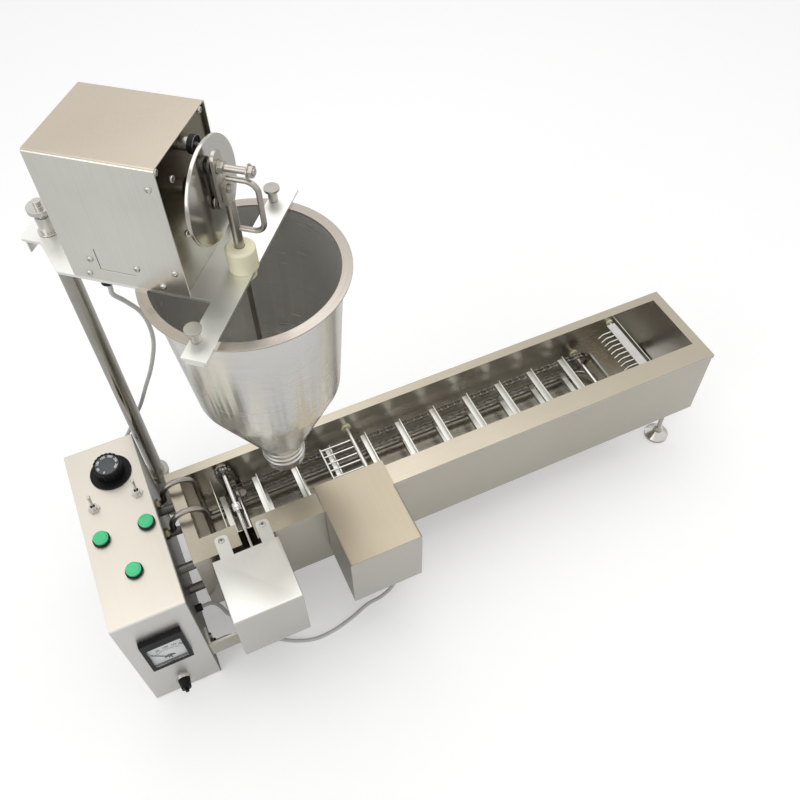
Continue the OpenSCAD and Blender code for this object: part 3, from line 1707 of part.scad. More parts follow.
// Plunger: eye, tube, rod and the disc that forms the ring
module plunger() {
    form_r = 20;
    form_t = 4;
    cup_r = 26;
    cup_z0 = nozzle_z + 28;
    cup_t = 10;
    rod_z0 = nozzle_z + 0.5;
    color(chrome)
        on_head()
            difference() {
                union() {
                    bar_z(plunger_tube_r, tube_z0, cross_z0 - panel_fit, head_reach);
                    bar_z(rod_r, rod_z0, tube_z0 + 1, head_reach);
                    bar_z(form_r, rod_z0, rod_z0 + form_t, head_reach);
                    bar_z(cup_r, cup_z0, cup_z0 + cup_t, head_reach);
                    block(cross_s1, cross_s1 + eye_t, -eye_w / 2, eye_w / 2, cross_z0 - eye_root, eye_z1);
                }
                bar_x(bolt_r + pivot_fit, cross_s0 - overrun, cross_s1 + 2 * overrun, 0, eye_bolt_z);
            }
}

// Crosshead: an upright bar with a round top that joins the plunger to the wrist
module crosshead() {
    color(steel)
        on_head()
            translate([cross_s0, 0, 0])
                rotate([90, 0, 90])
                    linear_extrude(height = cross_t)
                        difference() {
                            union() {
                                translate([-cross_w / 2, cross_z0])
                                    square([cross_w, cross_z1 - cross_z0 - cross_w / 2]);
                                translate([0, cross_z1 - cross_w / 2])
                                    circle(r = cross_w / 2);
                            }
                            translate([0, wrist_z])
                                circle(r = wrist_r + pivot_fit);
                            translate([0, eye_bolt_z])
                                circle(r = bolt_r + pivot_fit);
                        }
}

// D-shaped lift handle of bent rod
handle_rise = 59;
handle_h = 65;
handle_out = 35.85;
handle_low_z = arm_z + handle_rise;
handle_top_z = handle_low_z + handle_h;
handle_out_s = head_reach + handle_out;
handle_bend_r = 14;
module lift_handle() {
    straight_s = handle_out_s - handle_bend_r;
    color(chrome)
        on_head() {
            bar_x(rod_r, cross_s1 + eye_t + 0.2, straight_s, 0, handle_top_z + 2);
            translate([straight_s, 0, handle_top_z + 2 - handle_bend_r])
                rotate([90, 0, 0])
                    tube_turn(handle_bend_r, rod_r, 90);
            bar_z(rod_r, handle_low_z + handle_bend_r, handle_top_z + 2 - handle_bend_r, handle_out_s);
            translate([straight_s, 0, handle_low_z + handle_bend_r])
                rotate([90, 0, 0])
                    rotate(-90)
                        tube_turn(handle_bend_r, rod_r, 90);
            bar_x(rod_r, head_reach + plunger_tube_r + 0.2, straight_s, 0, handle_low_z);
        }
}

// Wrist stud with its nuts and washer, and the bolt through the plunger's eye
module wrist_stud() {
    nut_af = 12;
    nut_h = 5;
    washer_r = 8;
    washer_t = 1.5;
    collar_r = 6;
    color(chrome)
        on_head() {
            bar_x(wrist_r, wrist_s0, wrist_s1, 0, wrist_z);
            bar_x(collar_r, wrist_s0 + 0.5, cross_s0, 0, wrist_z);
            bar_x(washer_r, cross_s1, cross_s1 + washer_t, 0, wrist_z);
            hex_x(nut_af, cross_s1 + washer_t, cross_s1 + washer_t + nut_h, 0, wrist_z);
            bar_x(washer_r, wrist_s1 - nut_h - 2 * washer_t, wrist_s1 - nut_h - washer_t, 0, wrist_z);
            hex_x(nut_af, wrist_s1 - nut_h - washer_t, wrist_s1 - washer_t, 0, wrist_z);
            bar_x(bolt_r, cross_s0 - 1, cross_s1 + eye_t + nut_h, 0, eye_bolt_z);
            hex_x(bolt_head_af, cross_s1 + eye_t, cross_s1 + eye_t + bolt_head_h, 0, eye_bolt_z);
        }
}

// Nylon guide bush through the arm, stepped for the tube and the rod
module guide_bush() {
    chamfer = 3;
    color(nylon)
        on_head()
            translate([head_reach, 0, 0])
                difference() {
                    rotate_extrude()
                        polygon([[0, guide_shank_z0], [guide_shank_r, guide_shank_z0],
                            [guide_shank_r, arm_z], [guide_r, arm_z],
                            [guide_r, arm_z + guide_h - chamfer], [guide_r - chamfer, arm_z + guide_h],
                            [0, arm_z + guide_h]]);
                    bar_z(plunger_tube_r + pivot_fit, guide_step_z, arm_z + guide_h + overrun);
                    bar_z(rod_r + pivot_fit, guide_shank_z0 - overrun, guide_step_z + overrun);
                }
}

// A thumb screw: stem, knurled collar and disc
module thumb_screw(n) {
    knurl_r = 6;
    knurl_h = 15;
    cap_r = 10;
    cap_h = 19;
    color(chrome)
        on_head()
            translate([thumb_s, n, arm_z + running_gap])
                rotate_extrude()
                    polygon([[0, -arm_t], [thumb_r, -arm_t], [thumb_r, 0], [knurl_r, 0],
                        [knurl_r, knurl_h], [cap_r, knurl_h], [cap_r, cap_h], [0, cap_h]]);
}

module thumb_screw_front() {
    thumb_screw(-thumb_n);
}

module thumb_screw_rear() {
    thumb_screw(thumb_n);
}

// Hopper: rim, tapering wall, cone and the collar that takes the nozzle
module hopper() {
    slope = 1.4;
    color(steel)
        on_head()
            translate([head_reach, 0, 0])
                rotate_extrude()
                    polygon([[nozzle_r + panel_fit, hopper_collar_z0], [hopper_collar_r, hopper_collar_z0],
                        [hopper_collar_r, hopper_collar_z1], [hopper_neck_r, hopper_neck_z],
                        [hopper_shoulder_r, hopper_shoulder_z],
                        [hopper_mouth_r + hopper_wall, hopper_rim_top - rim_t],
                        [hopper_rim_r, hopper_rim_top - rim_t], [hopper_rim_r, hopper_rim_top],
                        [hopper_mouth_r, hopper_rim_top],
                        [hopper_shoulder_r - hopper_wall, hopper_shoulder_z + slope / 2],
                        [hopper_neck_r - hopper_wall, hopper_neck_z + slope],
                        [nozzle_r + panel_fit, nozzle_top_z]]);
}

// Nozzle: a tube with raised beads
module nozzle() {
    color(steel)
        on_head()
            translate([head_reach, 0, 0])
                difference() {
                    union() {
                        bar_z(nozzle_r, nozzle_z, nozzle_top_z);
                        for (z = nozzle_bead_zs)
                            bar_z(nozzle_r + nozzle_bead, z, z + nozzle_bead_h);
                    }
                    bar_z(nozzle_r - nozzle_wall, nozzle_z - overrun, nozzle_top_z + overrun);
                }
}

// Stop switch on the end plate: pale body and black ring
module stop_switch() {
    color(pale_plastic)
        on_head()
            difference() {
                union() {
                    bar_x(switch_body_r, end_plate_s1, end_plate_s1 + switch_body_len, switch_n, switch_z);
                    bar_x(switch_ring_r, end_plate_s1 + switch_body_len - 1,
                        end_plate_s1 + switch_body_len + switch_ring_len, switch_n, switch_z);
                }
                bar_x(switch_pin_r + pivot_fit, end_plate_s1 + 2,
                    end_plate_s1 + switch_body_len + switch_ring_len + overrun, switch_n, switch_z);
            }
}

// Sprung pin of the stop switch, its end just behind the disc
module stop_button() {
    color(chrome)
        on_head()
            bar_x(switch_pin_r, end_plate_s1 + switch_body_len / 2, disc_s0 - running_gap, switch_n, switch_z);
}

// Cable from the head down to the cabinet's back
module head_cable() {
    color(cable_grey)
        on_bench()
            cable(head_cable_route, cable_r, cable_sides, 2);
}

// Cables of the two drive motors, to the cabinet's right side
module drive_cables() {
    color(cable_grey)
        on_bench() {
            cable(turner_cable_route, cable_r, cable_sides, 2);
            cable(conveyor_cable_route, cable_r, cable_sides, 2);
        }
}

// Glands where the cables leave the cabinet and the motors
module cable_glands() {
    gland_out_r = 6;
    back = head_cable_route[len(head_cable_route) - 1];
    color(black_plastic)
        on_bench() {
            bar_y(gland_out_r, cabinet_y1, back[1], back[0], back[2]);
            for (route = [turner_cable_route, conveyor_cable_route]) {
                first = route[0];
                last = route[len(route) - 1];
                bar_x(gland_out_r, cabinet_w, last[0], last[1], last[2]);
                bar_z(gland_out_r, first[2], first[2] + 2 * overrun, first[0], first[1]);
            }
        }
}

// Grommet in the arm, just above the cable's end
module head_grommet() {
    color(black_plastic)
        on_head() {
            bar_z(grommet_r, under_arm - grommet_drop, arm_z + 1, cable_hole_s, cable_hole_n);
            bar_z(grommet_r + 2, under_arm - grommet_drop, under_arm, cable_hole_s, cable_hole_n);
        }
}

cabinet_shell();
cabinet_side_panel();
thermostat();
dial_knob();
toggle_switches();
toggle_lever_left();
toggle_lever_right();
lamp_bezels();
lamp_lenses();
meter_case();
meter_face();
meter_needle();
meter_glass();
speed_pot();
speed_knob();
heater_tube();
heater_glands();
frame_fasteners();
trough_casing();
fryer_trough();
front_foot();
rear_foot();
tie_bar();
column_socket();
conveyor_cover();
conveyor_gearmotor();
turner_cover();
turner_gearmotor();
shaft_bushes();
drive_shaft();
feed_shaft();
tail_shaft();
conveyor_chains();
conveyor_flights();
turner();
exit_comb();
column_tube();
column_knob();
arm_plate();
head_cover();
head_end_plate();
head_gearmotor();
head_screws();
crank_disc();
crank_link();
plunger();
crosshead();
lift_handle();
wrist_stud();
guide_bush();
thumb_screw_front();
thumb_screw_rear();
hopper();
nozzle();
stop_switch();
stop_button();
head_grommet();
head_cable();
drive_cables();
cable_glands();
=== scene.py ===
import math

import bmesh
import bpy
from mathutils import Matrix, Vector


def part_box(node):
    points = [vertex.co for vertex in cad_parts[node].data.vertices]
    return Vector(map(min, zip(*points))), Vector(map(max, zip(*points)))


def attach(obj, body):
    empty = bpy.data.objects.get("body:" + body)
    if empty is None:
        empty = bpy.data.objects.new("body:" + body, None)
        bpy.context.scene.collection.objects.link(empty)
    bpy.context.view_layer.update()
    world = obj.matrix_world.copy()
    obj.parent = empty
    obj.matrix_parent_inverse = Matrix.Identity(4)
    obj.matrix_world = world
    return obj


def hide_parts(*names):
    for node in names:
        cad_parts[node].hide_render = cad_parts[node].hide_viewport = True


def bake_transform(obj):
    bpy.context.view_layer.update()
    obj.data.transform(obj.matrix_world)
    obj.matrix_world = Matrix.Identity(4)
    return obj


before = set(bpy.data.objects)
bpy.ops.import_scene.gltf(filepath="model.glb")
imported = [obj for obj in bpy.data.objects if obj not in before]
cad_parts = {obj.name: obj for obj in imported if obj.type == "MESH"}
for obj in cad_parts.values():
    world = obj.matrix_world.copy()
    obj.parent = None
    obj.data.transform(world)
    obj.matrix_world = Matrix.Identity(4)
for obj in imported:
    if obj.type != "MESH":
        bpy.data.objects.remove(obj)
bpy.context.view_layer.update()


# Camera: it stands ahead of the machine's left end and looks down along the trough, at the
# photograph's angle, with a small shift for the photograph's framing.
def new_object(name, data):
    """A new object in the scene, from its mesh, curve, lamp or camera data."""
    made = bpy.data.objects.new(name, data)
    bpy.context.scene.collection.objects.link(made)
    return made


camera_place = Vector((-0.3388, -0.7123, 1.3423))
camera_right = Vector((0.91, -0.414, -0.0214))
camera_back = Vector((-0.2365, -0.561, 0.7933))
camera_data = bpy.data.cameras.new("camera")
camera_data.lens = 37.6
camera_data.sensor_width = 36.0
camera_data.shift_x = 0.01295
camera_data.shift_y = -0.00544
camera_data.clip_start = 0.05
camera = new_object("camera", camera_data)
bpy.context.scene.camera = camera
back = camera_back.normalized()
right = (camera_right - back * camera_right.dot(back)).normalized()
up = back.cross(right)
camera.matrix_world = Matrix.Translation(camera_place) @ Matrix((right, up, back)).transposed().to_4x4()

# Cables: three grey round leads in a plastic sheath, each held by a gland or a grommet at both
# ends. One hangs from the head down to the cabinet's back, and two run from the motors under the
# covers to the cabinet's right side.
origin_x, origin_y = 525.0, 93.397


def from_machine(x, y, z):
    """A point given in the part's own millimetres, from the cabinet's left and the rim's front."""
    return Vector(((x - origin_x) / 1000, (y - origin_y) / 1000, z / 1000))


def smooth_route(points, steps):
    """A smooth curve through waypoints, with the same number of steps from each to the next."""
    route = []
    last = len(points) - 1
    for i in range(last):
        a, b, c, d = points[max(i - 1, 0)], points[i], points[i + 1], points[min(i + 2, last)]
        for k in range(steps):
            t = k / steps
            route.append(0.5 * (2 * b + (c - a) * t + (2 * a - 5 * b + 4 * c - d) * t * t
                                + (3 * b - a - 3 * c + d) * t * t * t))
    route.append(points[last])
    return route


def add_piece(name, points, faces, material, body, smooth=True):
    """A new piece of mesh, which rides on a body if one is named."""
    mesh = bpy.data.meshes.new(name)
    mesh.from_pydata([tuple(p) for p in points], [], faces)
    mesh.validate()
    mesh.update()
    mesh.polygons.foreach_set("use_smooth", [smooth] * len(mesh.polygons))
    piece = new_object(name, mesh)
    piece.data.materials.append(material)
    if body:
        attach(piece, body)
    return piece


def square_to(direction, spare):
    """A direction square to another, worked out from the vertical, or from a spare one near it."""
    nearly_vertical = 0.9
    other = Vector((0, 0, 1)) if abs(direction.z) < nearly_vertical else Vector(spare)
    return direction.cross(other).normalized()


def tube_skin(route, radius, sides):
    """Points and faces of a round tube along a route, closed at both ends."""
    points, faces = [], []
    last = len(route) - 1
    side = None
    for i, p in enumerate(route):
        ahead = (route[min(i + 1, last)] - route[max(i - 1, 0)]).normalized()
        if side is None:
            side = square_to(ahead, (1, 0, 0))
        side = (side - ahead * side.dot(ahead)).normalized()
        other = ahead.cross(side)
        for k in range(sides):
            turn = 2 * math.pi * k / sides
            points.append(p + radius * (math.cos(turn) * side + math.sin(turn) * other))
    for i in range(last):
        for k in range(sides):
            a, b = i * sides + k, i * sides + (k + 1) % sides
            faces.append((a, b, b + sides, a + sides))
    faces.append(tuple(reversed(range(sides))))
    faces.append(tuple(last * sides + k for k in range(sides)))
    return points, faces


def new_material(name, base=(0.8, 0.8, 0.8), metallic=0.0, rough=0.5, coat=0.0):
    """A new material with its node tree and its shader."""
    material = bpy.data.materials.new(name)
    material.use_nodes = True
    shader = material.node_tree.nodes["Principled BSDF"]
    shader.inputs["Base Color"].default_value = (*base, 1)
    shader.inputs["Metallic"].default_value = metallic
    shader.inputs["Roughness"].default_value = rough
    shader.inputs["Coat Weight"].default_value = coat
    return material, material.node_tree, shader


def srgb(r, g, b):
    """A colour as it is seen, in the linear numbers that the shader takes."""
    return tuple(c / 12.92 if c <= 0.04045 else ((c + 0.055) / 1.055) ** 2.4 for c in (r, g, b))


def new_group(name, takes, gives):
    """A node group, with the sockets that it takes values from and those that it gives them to."""
    group = bpy.data.node_groups.new(name, "ShaderNodeTree")
    for socket, kind, value in takes:
        made = group.interface.new_socket(socket, in_out="INPUT", socket_type="NodeSocket" + kind)
        made.default_value = value
    for socket, kind in gives:
        group.interface.new_socket(socket, in_out="OUTPUT", socket_type="NodeSocket" + kind)
    return group, group.nodes.new("NodeGroupInput").outputs, group.nodes.new("NodeGroupOutput").inputs


def feed(tree, socket, value):
    """Gives a socket a plain value, or a link where the value is another node's output."""
    if isinstance(value, bpy.types.NodeSocket):
        tree.links.new(value, socket)
    else:
        socket.default_value = (*value, 1) if socket.type == "RGBA" else value


def math_node(tree, operation, *values):
    node = tree.nodes.new("ShaderNodeMath")
    node.operation = operation
    for socket, value in zip(node.inputs, values):
        feed(tree, socket, value)
    return node.outputs[0]


def noise_node(tree, place, scale, detail=3.0, rough=0.55):
    node = tree.nodes.new("ShaderNodeTexNoise")
    node.inputs["Detail"].default_value = detail
    node.inputs["Roughness"].default_value = rough
    feed(tree, node.inputs["Vector"], place)
    feed(tree, node.inputs["Scale"], scale)
    return node.outputs["Fac"]


def mix_colour(tree, share, a, b, blend="MIX"):
    node = tree.nodes.new("ShaderNodeMix")
    node.data_type = "RGBA"
    node.blend_type = blend
    for socket, value in (("Factor", share), ("A", a), ("B", b)):
        feed(tree, node.inputs[socket], value)
    return node.outputs["Result"]


def spread_gloss(group, takes, gives, mask):
    """Roughness that rises from Gloss by Gloss Spread as a mask goes from 0 to 1."""
    spread = math_node(group, "MULTIPLY", mask, takes["Gloss Spread"])
    feed(group, gives["Roughness"], math_node(group, "ADD", spread, takes["Gloss"]))


def make_moulded_skin():
    """The faint mottle and fine texture of moulded or extruded plastic."""
    mottle_scale = 45.0
    group, takes, gives = new_group(
        "moulded_skin",
        [("Colour", "Color", (0.5, 0.5, 0.5, 1)), ("Shade", "Color", (0.4, 0.4, 0.4, 1)),
         ("Grain", "Float", 900.0), ("Gloss", "Float", 0.35), ("Gloss Spread", "Float", 0.12)],
        [("Colour", "Color"), ("Roughness", "Float"), ("Height", "Float")])
    spot = group.nodes.new("ShaderNodeTexCoord").outputs["Object"]
    mottle = noise_node(group, spot, mottle_scale)
    feed(group, gives["Colour"], mix_colour(group, mottle, takes["Colour"], takes["Shade"]))
    spread_gloss(group, takes, gives, mottle)
    feed(group, gives["Height"], noise_node(group, spot, takes["Grain"], detail=2.0))
    return group


moulded_skin = make_moulded_skin()


def use_group(tree, shader, group, values, bump=0.1):
    """Places a group in a material, with its own values, and wires it to the shader."""
    bump_size = 0.0003
    node = tree.nodes.new("ShaderNodeGroup")
    node.node_tree = group
    for socket, value in values.items():
        feed(tree, node.inputs[socket], value)
    feed(tree, shader.inputs["Base Color"], node.outputs["Colour"])
    feed(tree, shader.inputs["Roughness"], node.outputs["Roughness"])
    dent = tree.nodes.new("ShaderNodeBump")
    dent.inputs["Strength"].default_value = bump
    dent.inputs["Distance"].default_value = bump_size
    feed(tree, dent.inputs["Height"], node.outputs["Height"])
    feed(tree, shader.inputs["Normal"], dent.outputs["Normal"])
    return node


def plastic(name, colour, shade, gloss, grain=900.0, coat=0.0):
    """Plastic or paint that mottles from its colour to a darker shade."""
    material, tree, shader = new_material(name, coat=coat)
    use_group(tree, shader, moulded_skin,
              {"Colour": colour, "Shade": shade, "Grain": grain, "Gloss": gloss, "Gloss Spread": 0.12})
    return material


cable_sheath = plastic("cable_sheath", srgb(0.80, 0.80, 0.79), srgb(0.72, 0.72, 0.71), 0.4)
cable_radius = 0.003
cable_sides, cable_steps = 14, 8
# The head's cable runs between these heights.
head_cable_route = [
    (163, 158, 658), (163, 158, 648), (163, 158, 637), (173, 168, 612), (186, 185, 570),
    (190, 205, 518), (186, 225, 463), (171, 245, 399), (153, 262, 344), (136, 278, 292),
    (118, 290, 250), (96, 290, 215), (76, 283, 195), (70, 273, 190), (70, 265, 190), (70, 257, 190)]
turner_cable_route = [
    (418, -80, 165), (418, -80, 148), (418, -80, 130), (410, -76, 70), (392, -66, 22), (366, -62, 4),
    (335, -72, 4), (300, -80, 4), (265, -81, 4), (232, -70, 5), (200, -54, 14),
    (165, -42, 34), (145, -37, 46), (133, -36, 50), (125, -36, 50), (117, -36, 50)]
conveyor_cable_route = [
    (217, -80, 172), (217, -80, 160), (217, -80, 148), (209, -62, 118), (190, -46, 110),
    (165, -42, 112), (151, -33, 117), (143, -17, 120), (136, -9, 122), (129, -6, 122),
    (123, -6, 122), (117, -6, 122)]
for cable_name, waypoints, node in (
        ("head_lead", head_cable_route, "head_cable"),
        ("turner_lead", turner_cable_route, "drive_cables"),
        ("conveyor_lead", conveyor_cable_route, "drive_cables")):
    centre_line = smooth_route([from_machine(*p) for p in waypoints], cable_steps)
    hangs = node == "head_cable"
    lead = add_piece(cable_name, *tube_skin(centre_line, cable_radius, cable_sides), cable_sheath,
                     None if hangs else "base")
    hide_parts(node)
    if hangs:
        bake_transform(lead)

# Control cabinet: a tall narrow box of brushed stainless sheet, folded round the front, top and
# back, with a screwed panel on its right side. The sheet is 1.5 mm thick and ground fine.
plain_white = (1.0, 1.0, 1.0)
# A painted top shade that starts above everything shows nowhere, and a sharp one fades in over this height.
above_all = 10.0
sharp_fade = 0.0002
# What each metal's group takes, beside its own.
metal_takes = [
    ("Light Tone", "Color", (0.6, 0.6, 0.6, 1)), ("Dark Tone", "Color", (0.5, 0.5, 0.5, 1)),
    ("Blotch Size", "Float", 8.0), ("Gloss", "Float", 0.2), ("Gloss Spread", "Float", 0.15),
    ("Painted Top Shade", "Color", (*plain_white, 1)), ("Top Height", "Float", above_all),
    ("Top Fade", "Float", sharp_fade)]


def vector_node(tree, operation, a, b):
    node = tree.nodes.new("ShaderNodeVectorMath")
    node.operation = operation
    for socket, value in zip(node.inputs, (a, b)):
        feed(tree, socket, value)
    return node


def paint_top_shade(tree, ground, place, takes):
    """Multiplies painted shade into the metal above a height: the tops are darkened and warmed for how they
    catch the light.
    """
    height = tree.nodes.new("ShaderNodeSeparateXYZ")
    feed(tree, height.inputs[0], place)
    over = math_node(tree, "SUBTRACT", height.outputs["Z"], takes["Top Height"])
    above = math_node(tree, "DIVIDE", over, takes["Top Fade"])
    above.node.use_clamp = True
    # Painted shade: above the height, the colour is multiplied by the painted top shade.
    top_shade_colour = mix_colour(tree, above, plain_white, takes["Painted Top Shade"])
    return mix_colour(tree, 1.0, ground, top_shade_colour, blend="MULTIPLY")


def finish_metal(group, takes, gives, place, grain, grain_share):
    """Ends a metal's group: grain and broad blotches set its tone and gloss, and grain its height."""
    blotch = noise_node(group, place, takes["Blotch Size"], rough=0.5)
    tone = math_node(group, "ADD", math_node(group, "MULTIPLY", grain, grain_share),
                     math_node(group, "MULTIPLY", blotch, 1 - grain_share))
    ground = mix_colour(group, tone, takes["Light Tone"], takes["Dark Tone"])
    feed(group, gives["Colour"], paint_top_shade(group, ground, place, takes))
    spread_gloss(group, takes, gives, tone)
    feed(group, gives["Height"], grain)


def make_brushed_grain():
    """The long fine streaks that a brush or a belt leaves along sheet and bar."""
    group, takes, gives = new_group(
        "brushed_grain", metal_takes + [("Stretch", "Vector", (4.0, 400.0, 400.0))],
        [("Colour", "Color"), ("Roughness", "Float"), ("Height", "Float")])
    spot = group.nodes.new("ShaderNodeTexCoord").outputs["Object"]
    pulled = vector_node(group, "MULTIPLY", spot, takes["Stretch"])
    streak = noise_node(group, pulled.outputs[0], 1.0, detail=4.0, rough=0.7)
    finish_metal(group, takes, gives, spot, streak, grain_share=0.45)
    return group


brushed_grain = make_brushed_grain()


def brushed_steel(name, light, dark, stretch, gloss=0.24, spread=0.18, blotch=7.0, bump=0.12,
                  painted_top_shade=plain_white, top_height=above_all, top_fade=sharp_fade):
    """Brushed or plated metal. Its grain is long where stretch is small, and a painted top shade darkens and
    warms its top.
    """
    material, tree, shader = new_material(name, metallic=1.0)
    use_group(tree, shader, brushed_grain,
              {"Light Tone": light, "Dark Tone": dark, "Stretch": stretch, "Blotch Size": blotch,
               "Gloss": gloss, "Gloss Spread": spread, "Painted Top Shade": painted_top_shade, "Top Height": top_height,
               "Top Fade": top_fade}, bump)
    return material


def dress(node, material, edge=0.0, segments=2):
    """Gives a CAD node its finish, and softens its edges without touching its points."""
    weld_gap, flat_angle, edge_angle = 1e-6, math.radians(0.3), math.radians(40)
    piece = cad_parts[node]
    piece.data.materials.clear()
    piece.data.materials.append(material)
    if edge:
        weld = piece.modifiers.new("weld", "WELD")
        weld.merge_threshold = weld_gap
        flat = piece.modifiers.new("flat", "DECIMATE")
        flat.decimate_type = "DISSOLVE"
        flat.angle_limit = flat_angle
        bevel = piece.modifiers.new("edge", "BEVEL")
        bevel.width = edge
        bevel.segments = segments
        bevel.limit_method = "ANGLE"
        bevel.angle_limit = edge_angle
        bevel.harden_normals = False
        keep = piece.modifiers.new("shade", "WEIGHTED_NORMAL")
        keep.keep_sharp = False
    return piece


def near_top(node, depth):
    """The height that lies a small depth under a node's top."""
    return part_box(node)[1].z - depth


along_x = (6.0, 700.0, 700.0)
along_y = (700.0, 6.0, 700.0)
along_z = (700.0, 700.0, 6.0)
sheet_edge = 0.0005
# The cabinet's top gets a painted shade, warmer and darker than its front, for how the top catches the light.
cabinet_steel = brushed_steel(
    "cabinet_steel", srgb(0.90, 0.895, 0.88), srgb(0.84, 0.835, 0.82), along_y, gloss=0.3,
    painted_top_shade=srgb(0.95, 0.925, 0.89), top_height=near_top("cabinet_shell", sheet_edge))
# The side panel's darker tone is painted shade, for the dark shadow that it reflects.
shaded_side_steel = brushed_steel("shaded_side_steel", srgb(0.58, 0.575, 0.55), srgb(0.47, 0.465, 0.44), along_y)
dress("cabinet_shell", cabinet_steel, sheet_edge)
dress("cabinet_side_panel", shaded_side_steel, sheet_edge)

# Thermostat and its knob: a black moulded knob with a grey top and printed numbers, which
# turns on a black flange that is screwed to the cabinet's top.
moulded_edge = 0.0006
black_moulded = plastic("black_moulded", srgb(0.085, 0.085, 0.095), srgb(0.05, 0.05, 0.06), 0.34)
black_moulded.node_tree.nodes["Principled BSDF"].inputs["Specular IOR Level"].default_value = 0.18
dress("thermostat", black_moulded, moulded_edge)
dress("dial_knob", black_moulded, moulded_edge)
crease_angle = math.radians(35)


def join_skins(skins):
    """One list of points and one of faces, from the points and faces of several skins."""
    points, faces = [], []
    for new_points, new_faces in skins:
        start = len(points)
        points += new_points
        faces += [tuple(start + i for i in f) for f in new_faces]
    return points, faces


def turned_skin(profile, centre, axis, steps, closed):
    """Points and faces of a turned piece. A profile point is a radius, or a rule for it round the
    turn, and a height. A closed profile is a ring, and an open one gets flat ends."""
    w = Vector(axis).normalized()
    u = square_to(w, (0, 1, 0))
    v = w.cross(u)
    points, faces = [], []
    for radius, height in profile:
        for k in range(steps):
            turn = 2 * math.pi * k / steps
            r = radius(turn) if callable(radius) else radius
            points.append(Vector(centre) + w * height + r * (math.cos(turn) * u + math.sin(turn) * v))
    rings = len(profile)
    for i in range(rings if closed else rings - 1):
        for k in range(steps):
            a, b = i * steps + k, i * steps + (k + 1) % steps
            c, d = (i + 1) % rings * steps + (k + 1) % steps, (i + 1) % rings * steps + k
            faces.append((a, b, c, d))
    if not closed:
        faces.append(tuple(reversed(range(steps))))
        faces.append(tuple((rings - 1) * steps + k for k in range(steps)))
    return points, faces


def turned_piece(name, skins, material, body):
    """One piece from one or more turned skins, with its corners kept sharp."""
    piece = add_piece(name, *join_skins(skins), material, body)
    piece.data.set_sharp_from_angle(angle=crease_angle)
    return piece


def lettering(name, words, places, size, thickness, material, body):
    """Small printed figures as thin raised shapes, joined in one piece."""
    stroke_share = 0.03
    skins = []
    for word, place in zip(words, places):
        curve = bpy.data.curves.new(name, "FONT")
        curve.body = word
        curve.size = size
        curve.align_x = curve.align_y = "CENTER"
        curve.extrude = thickness / 2
        curve.offset = size * stroke_share
        curve.resolution_u = 3
        figure = new_object(name, curve)
        bpy.context.view_layer.update()
        shape = bpy.data.meshes.new_from_object(figure.evaluated_get(bpy.context.evaluated_depsgraph_get()))
        skins.append(([place @ v.co for v in shape.vertices], [tuple(f.vertices) for f in shape.polygons]))
        bpy.data.objects.remove(figure)
        bpy.data.meshes.remove(shape)
        bpy.data.curves.remove(curve)
    return add_piece(name, *join_skins(skins), material, body, smooth=False)


dial_centre = from_machine(61, 187, 0)
dish_depth, dish_radius = 0.001, 0.0178
cap_depth, cap_chamfer_in, cap_chamfer_rise = 0.0007, 0.0003, 0.0002
cap_z = near_top("dial_knob", dish_depth)
cap_profile = [(dish_radius, 0), (dish_radius, cap_depth - cap_chamfer_rise),
               (dish_radius - cap_chamfer_in, cap_depth)]
dial_grey = plastic("dial_grey", srgb(0.34, 0.35, 0.37), srgb(0.28, 0.29, 0.31), 0.4)
cap_centre = (dial_centre.x, dial_centre.y, cap_z)
cap_skin = turned_skin(cap_profile, cap_centre, (0, 0, 1), steps=96, closed=False)
dial_cap = turned_piece("dial_cap", [cap_skin], dial_grey, "temperature_knob")
dial_words = ["0", "50", "100", "150", "200", "250", "300"]
figure_radius, figure_size, figure_thickness = 0.0142, 0.0052, 0.00016
first_turn, turn_between = -118, -46
white_print = plastic("white_print", srgb(0.93, 0.93, 0.92), srgb(0.86, 0.86, 0.85), 0.5)
places = []
for i in range(len(dial_words)):
    turn = math.radians(first_turn + turn_between * i)
    place = Vector((dial_centre.x + figure_radius * math.cos(turn),
                    dial_centre.y + figure_radius * math.sin(turn), cap_z + cap_depth + figure_thickness / 2))
    places.append(Matrix.Translation(place) @ Matrix.Rotation(turn - math.pi / 2, 4, "Z"))
dial_figures = lettering("dial_figures", dial_words, places, figure_size, figure_thickness, white_print,
                         "temperature_knob")

# Toggle switches: plated brass bushes, turned from bar and held on the panel by hexagon nuts.
# A bright bat lever pivots in each.
fine_edge = 0.0003


def evenly(fineness):
    """The grain of a piece that is polished or plated alike in every direction."""
    return (fineness, fineness, fineness)


bright_plate = brushed_steel("bright_plate", srgb(0.86, 0.85, 0.83), srgb(0.72, 0.71, 0.69), evenly(60.0),
                             gloss=0.12, spread=0.12, blotch=60.0, bump=0.04)
dress("toggle_switches", bright_plate, fine_edge)
dress("toggle_lever_left", bright_plate)
dress("toggle_lever_right", bright_plate)

# Signal lamps: black moulded collars that clamp in the panel, each with a domed lens of glossy
# green plastic.
small_edge = 0.0004
dress("lamp_bezels", black_moulded, small_edge)
green_lens = plastic("green_lens", srgb(0.27, 0.88, 0.60), srgb(0.18, 0.78, 0.50), 0.15, coat=0.6)
dress("lamp_lenses", green_lens, moulded_edge)

# Panel meter: a black moulded frame in the cabinet's front, with a wide band over its clear
# window. Behind the window a thin needle stands before a pale card, which is printed in black.
dress("meter_case", black_moulded, moulded_edge)
pale_card = plastic("pale_card", srgb(0.94, 0.945, 0.94), srgb(0.90, 0.905, 0.90), 0.5)
dress("meter_face", pale_card)
dress("meter_needle", black_moulded)
clear_pane, tree, shader = new_material("clear_pane", srgb(0.97, 0.98, 0.98), rough=0.03)
shader.inputs["Transmission Weight"].default_value = 1.0
shader.inputs["IOR"].default_value = 1.45
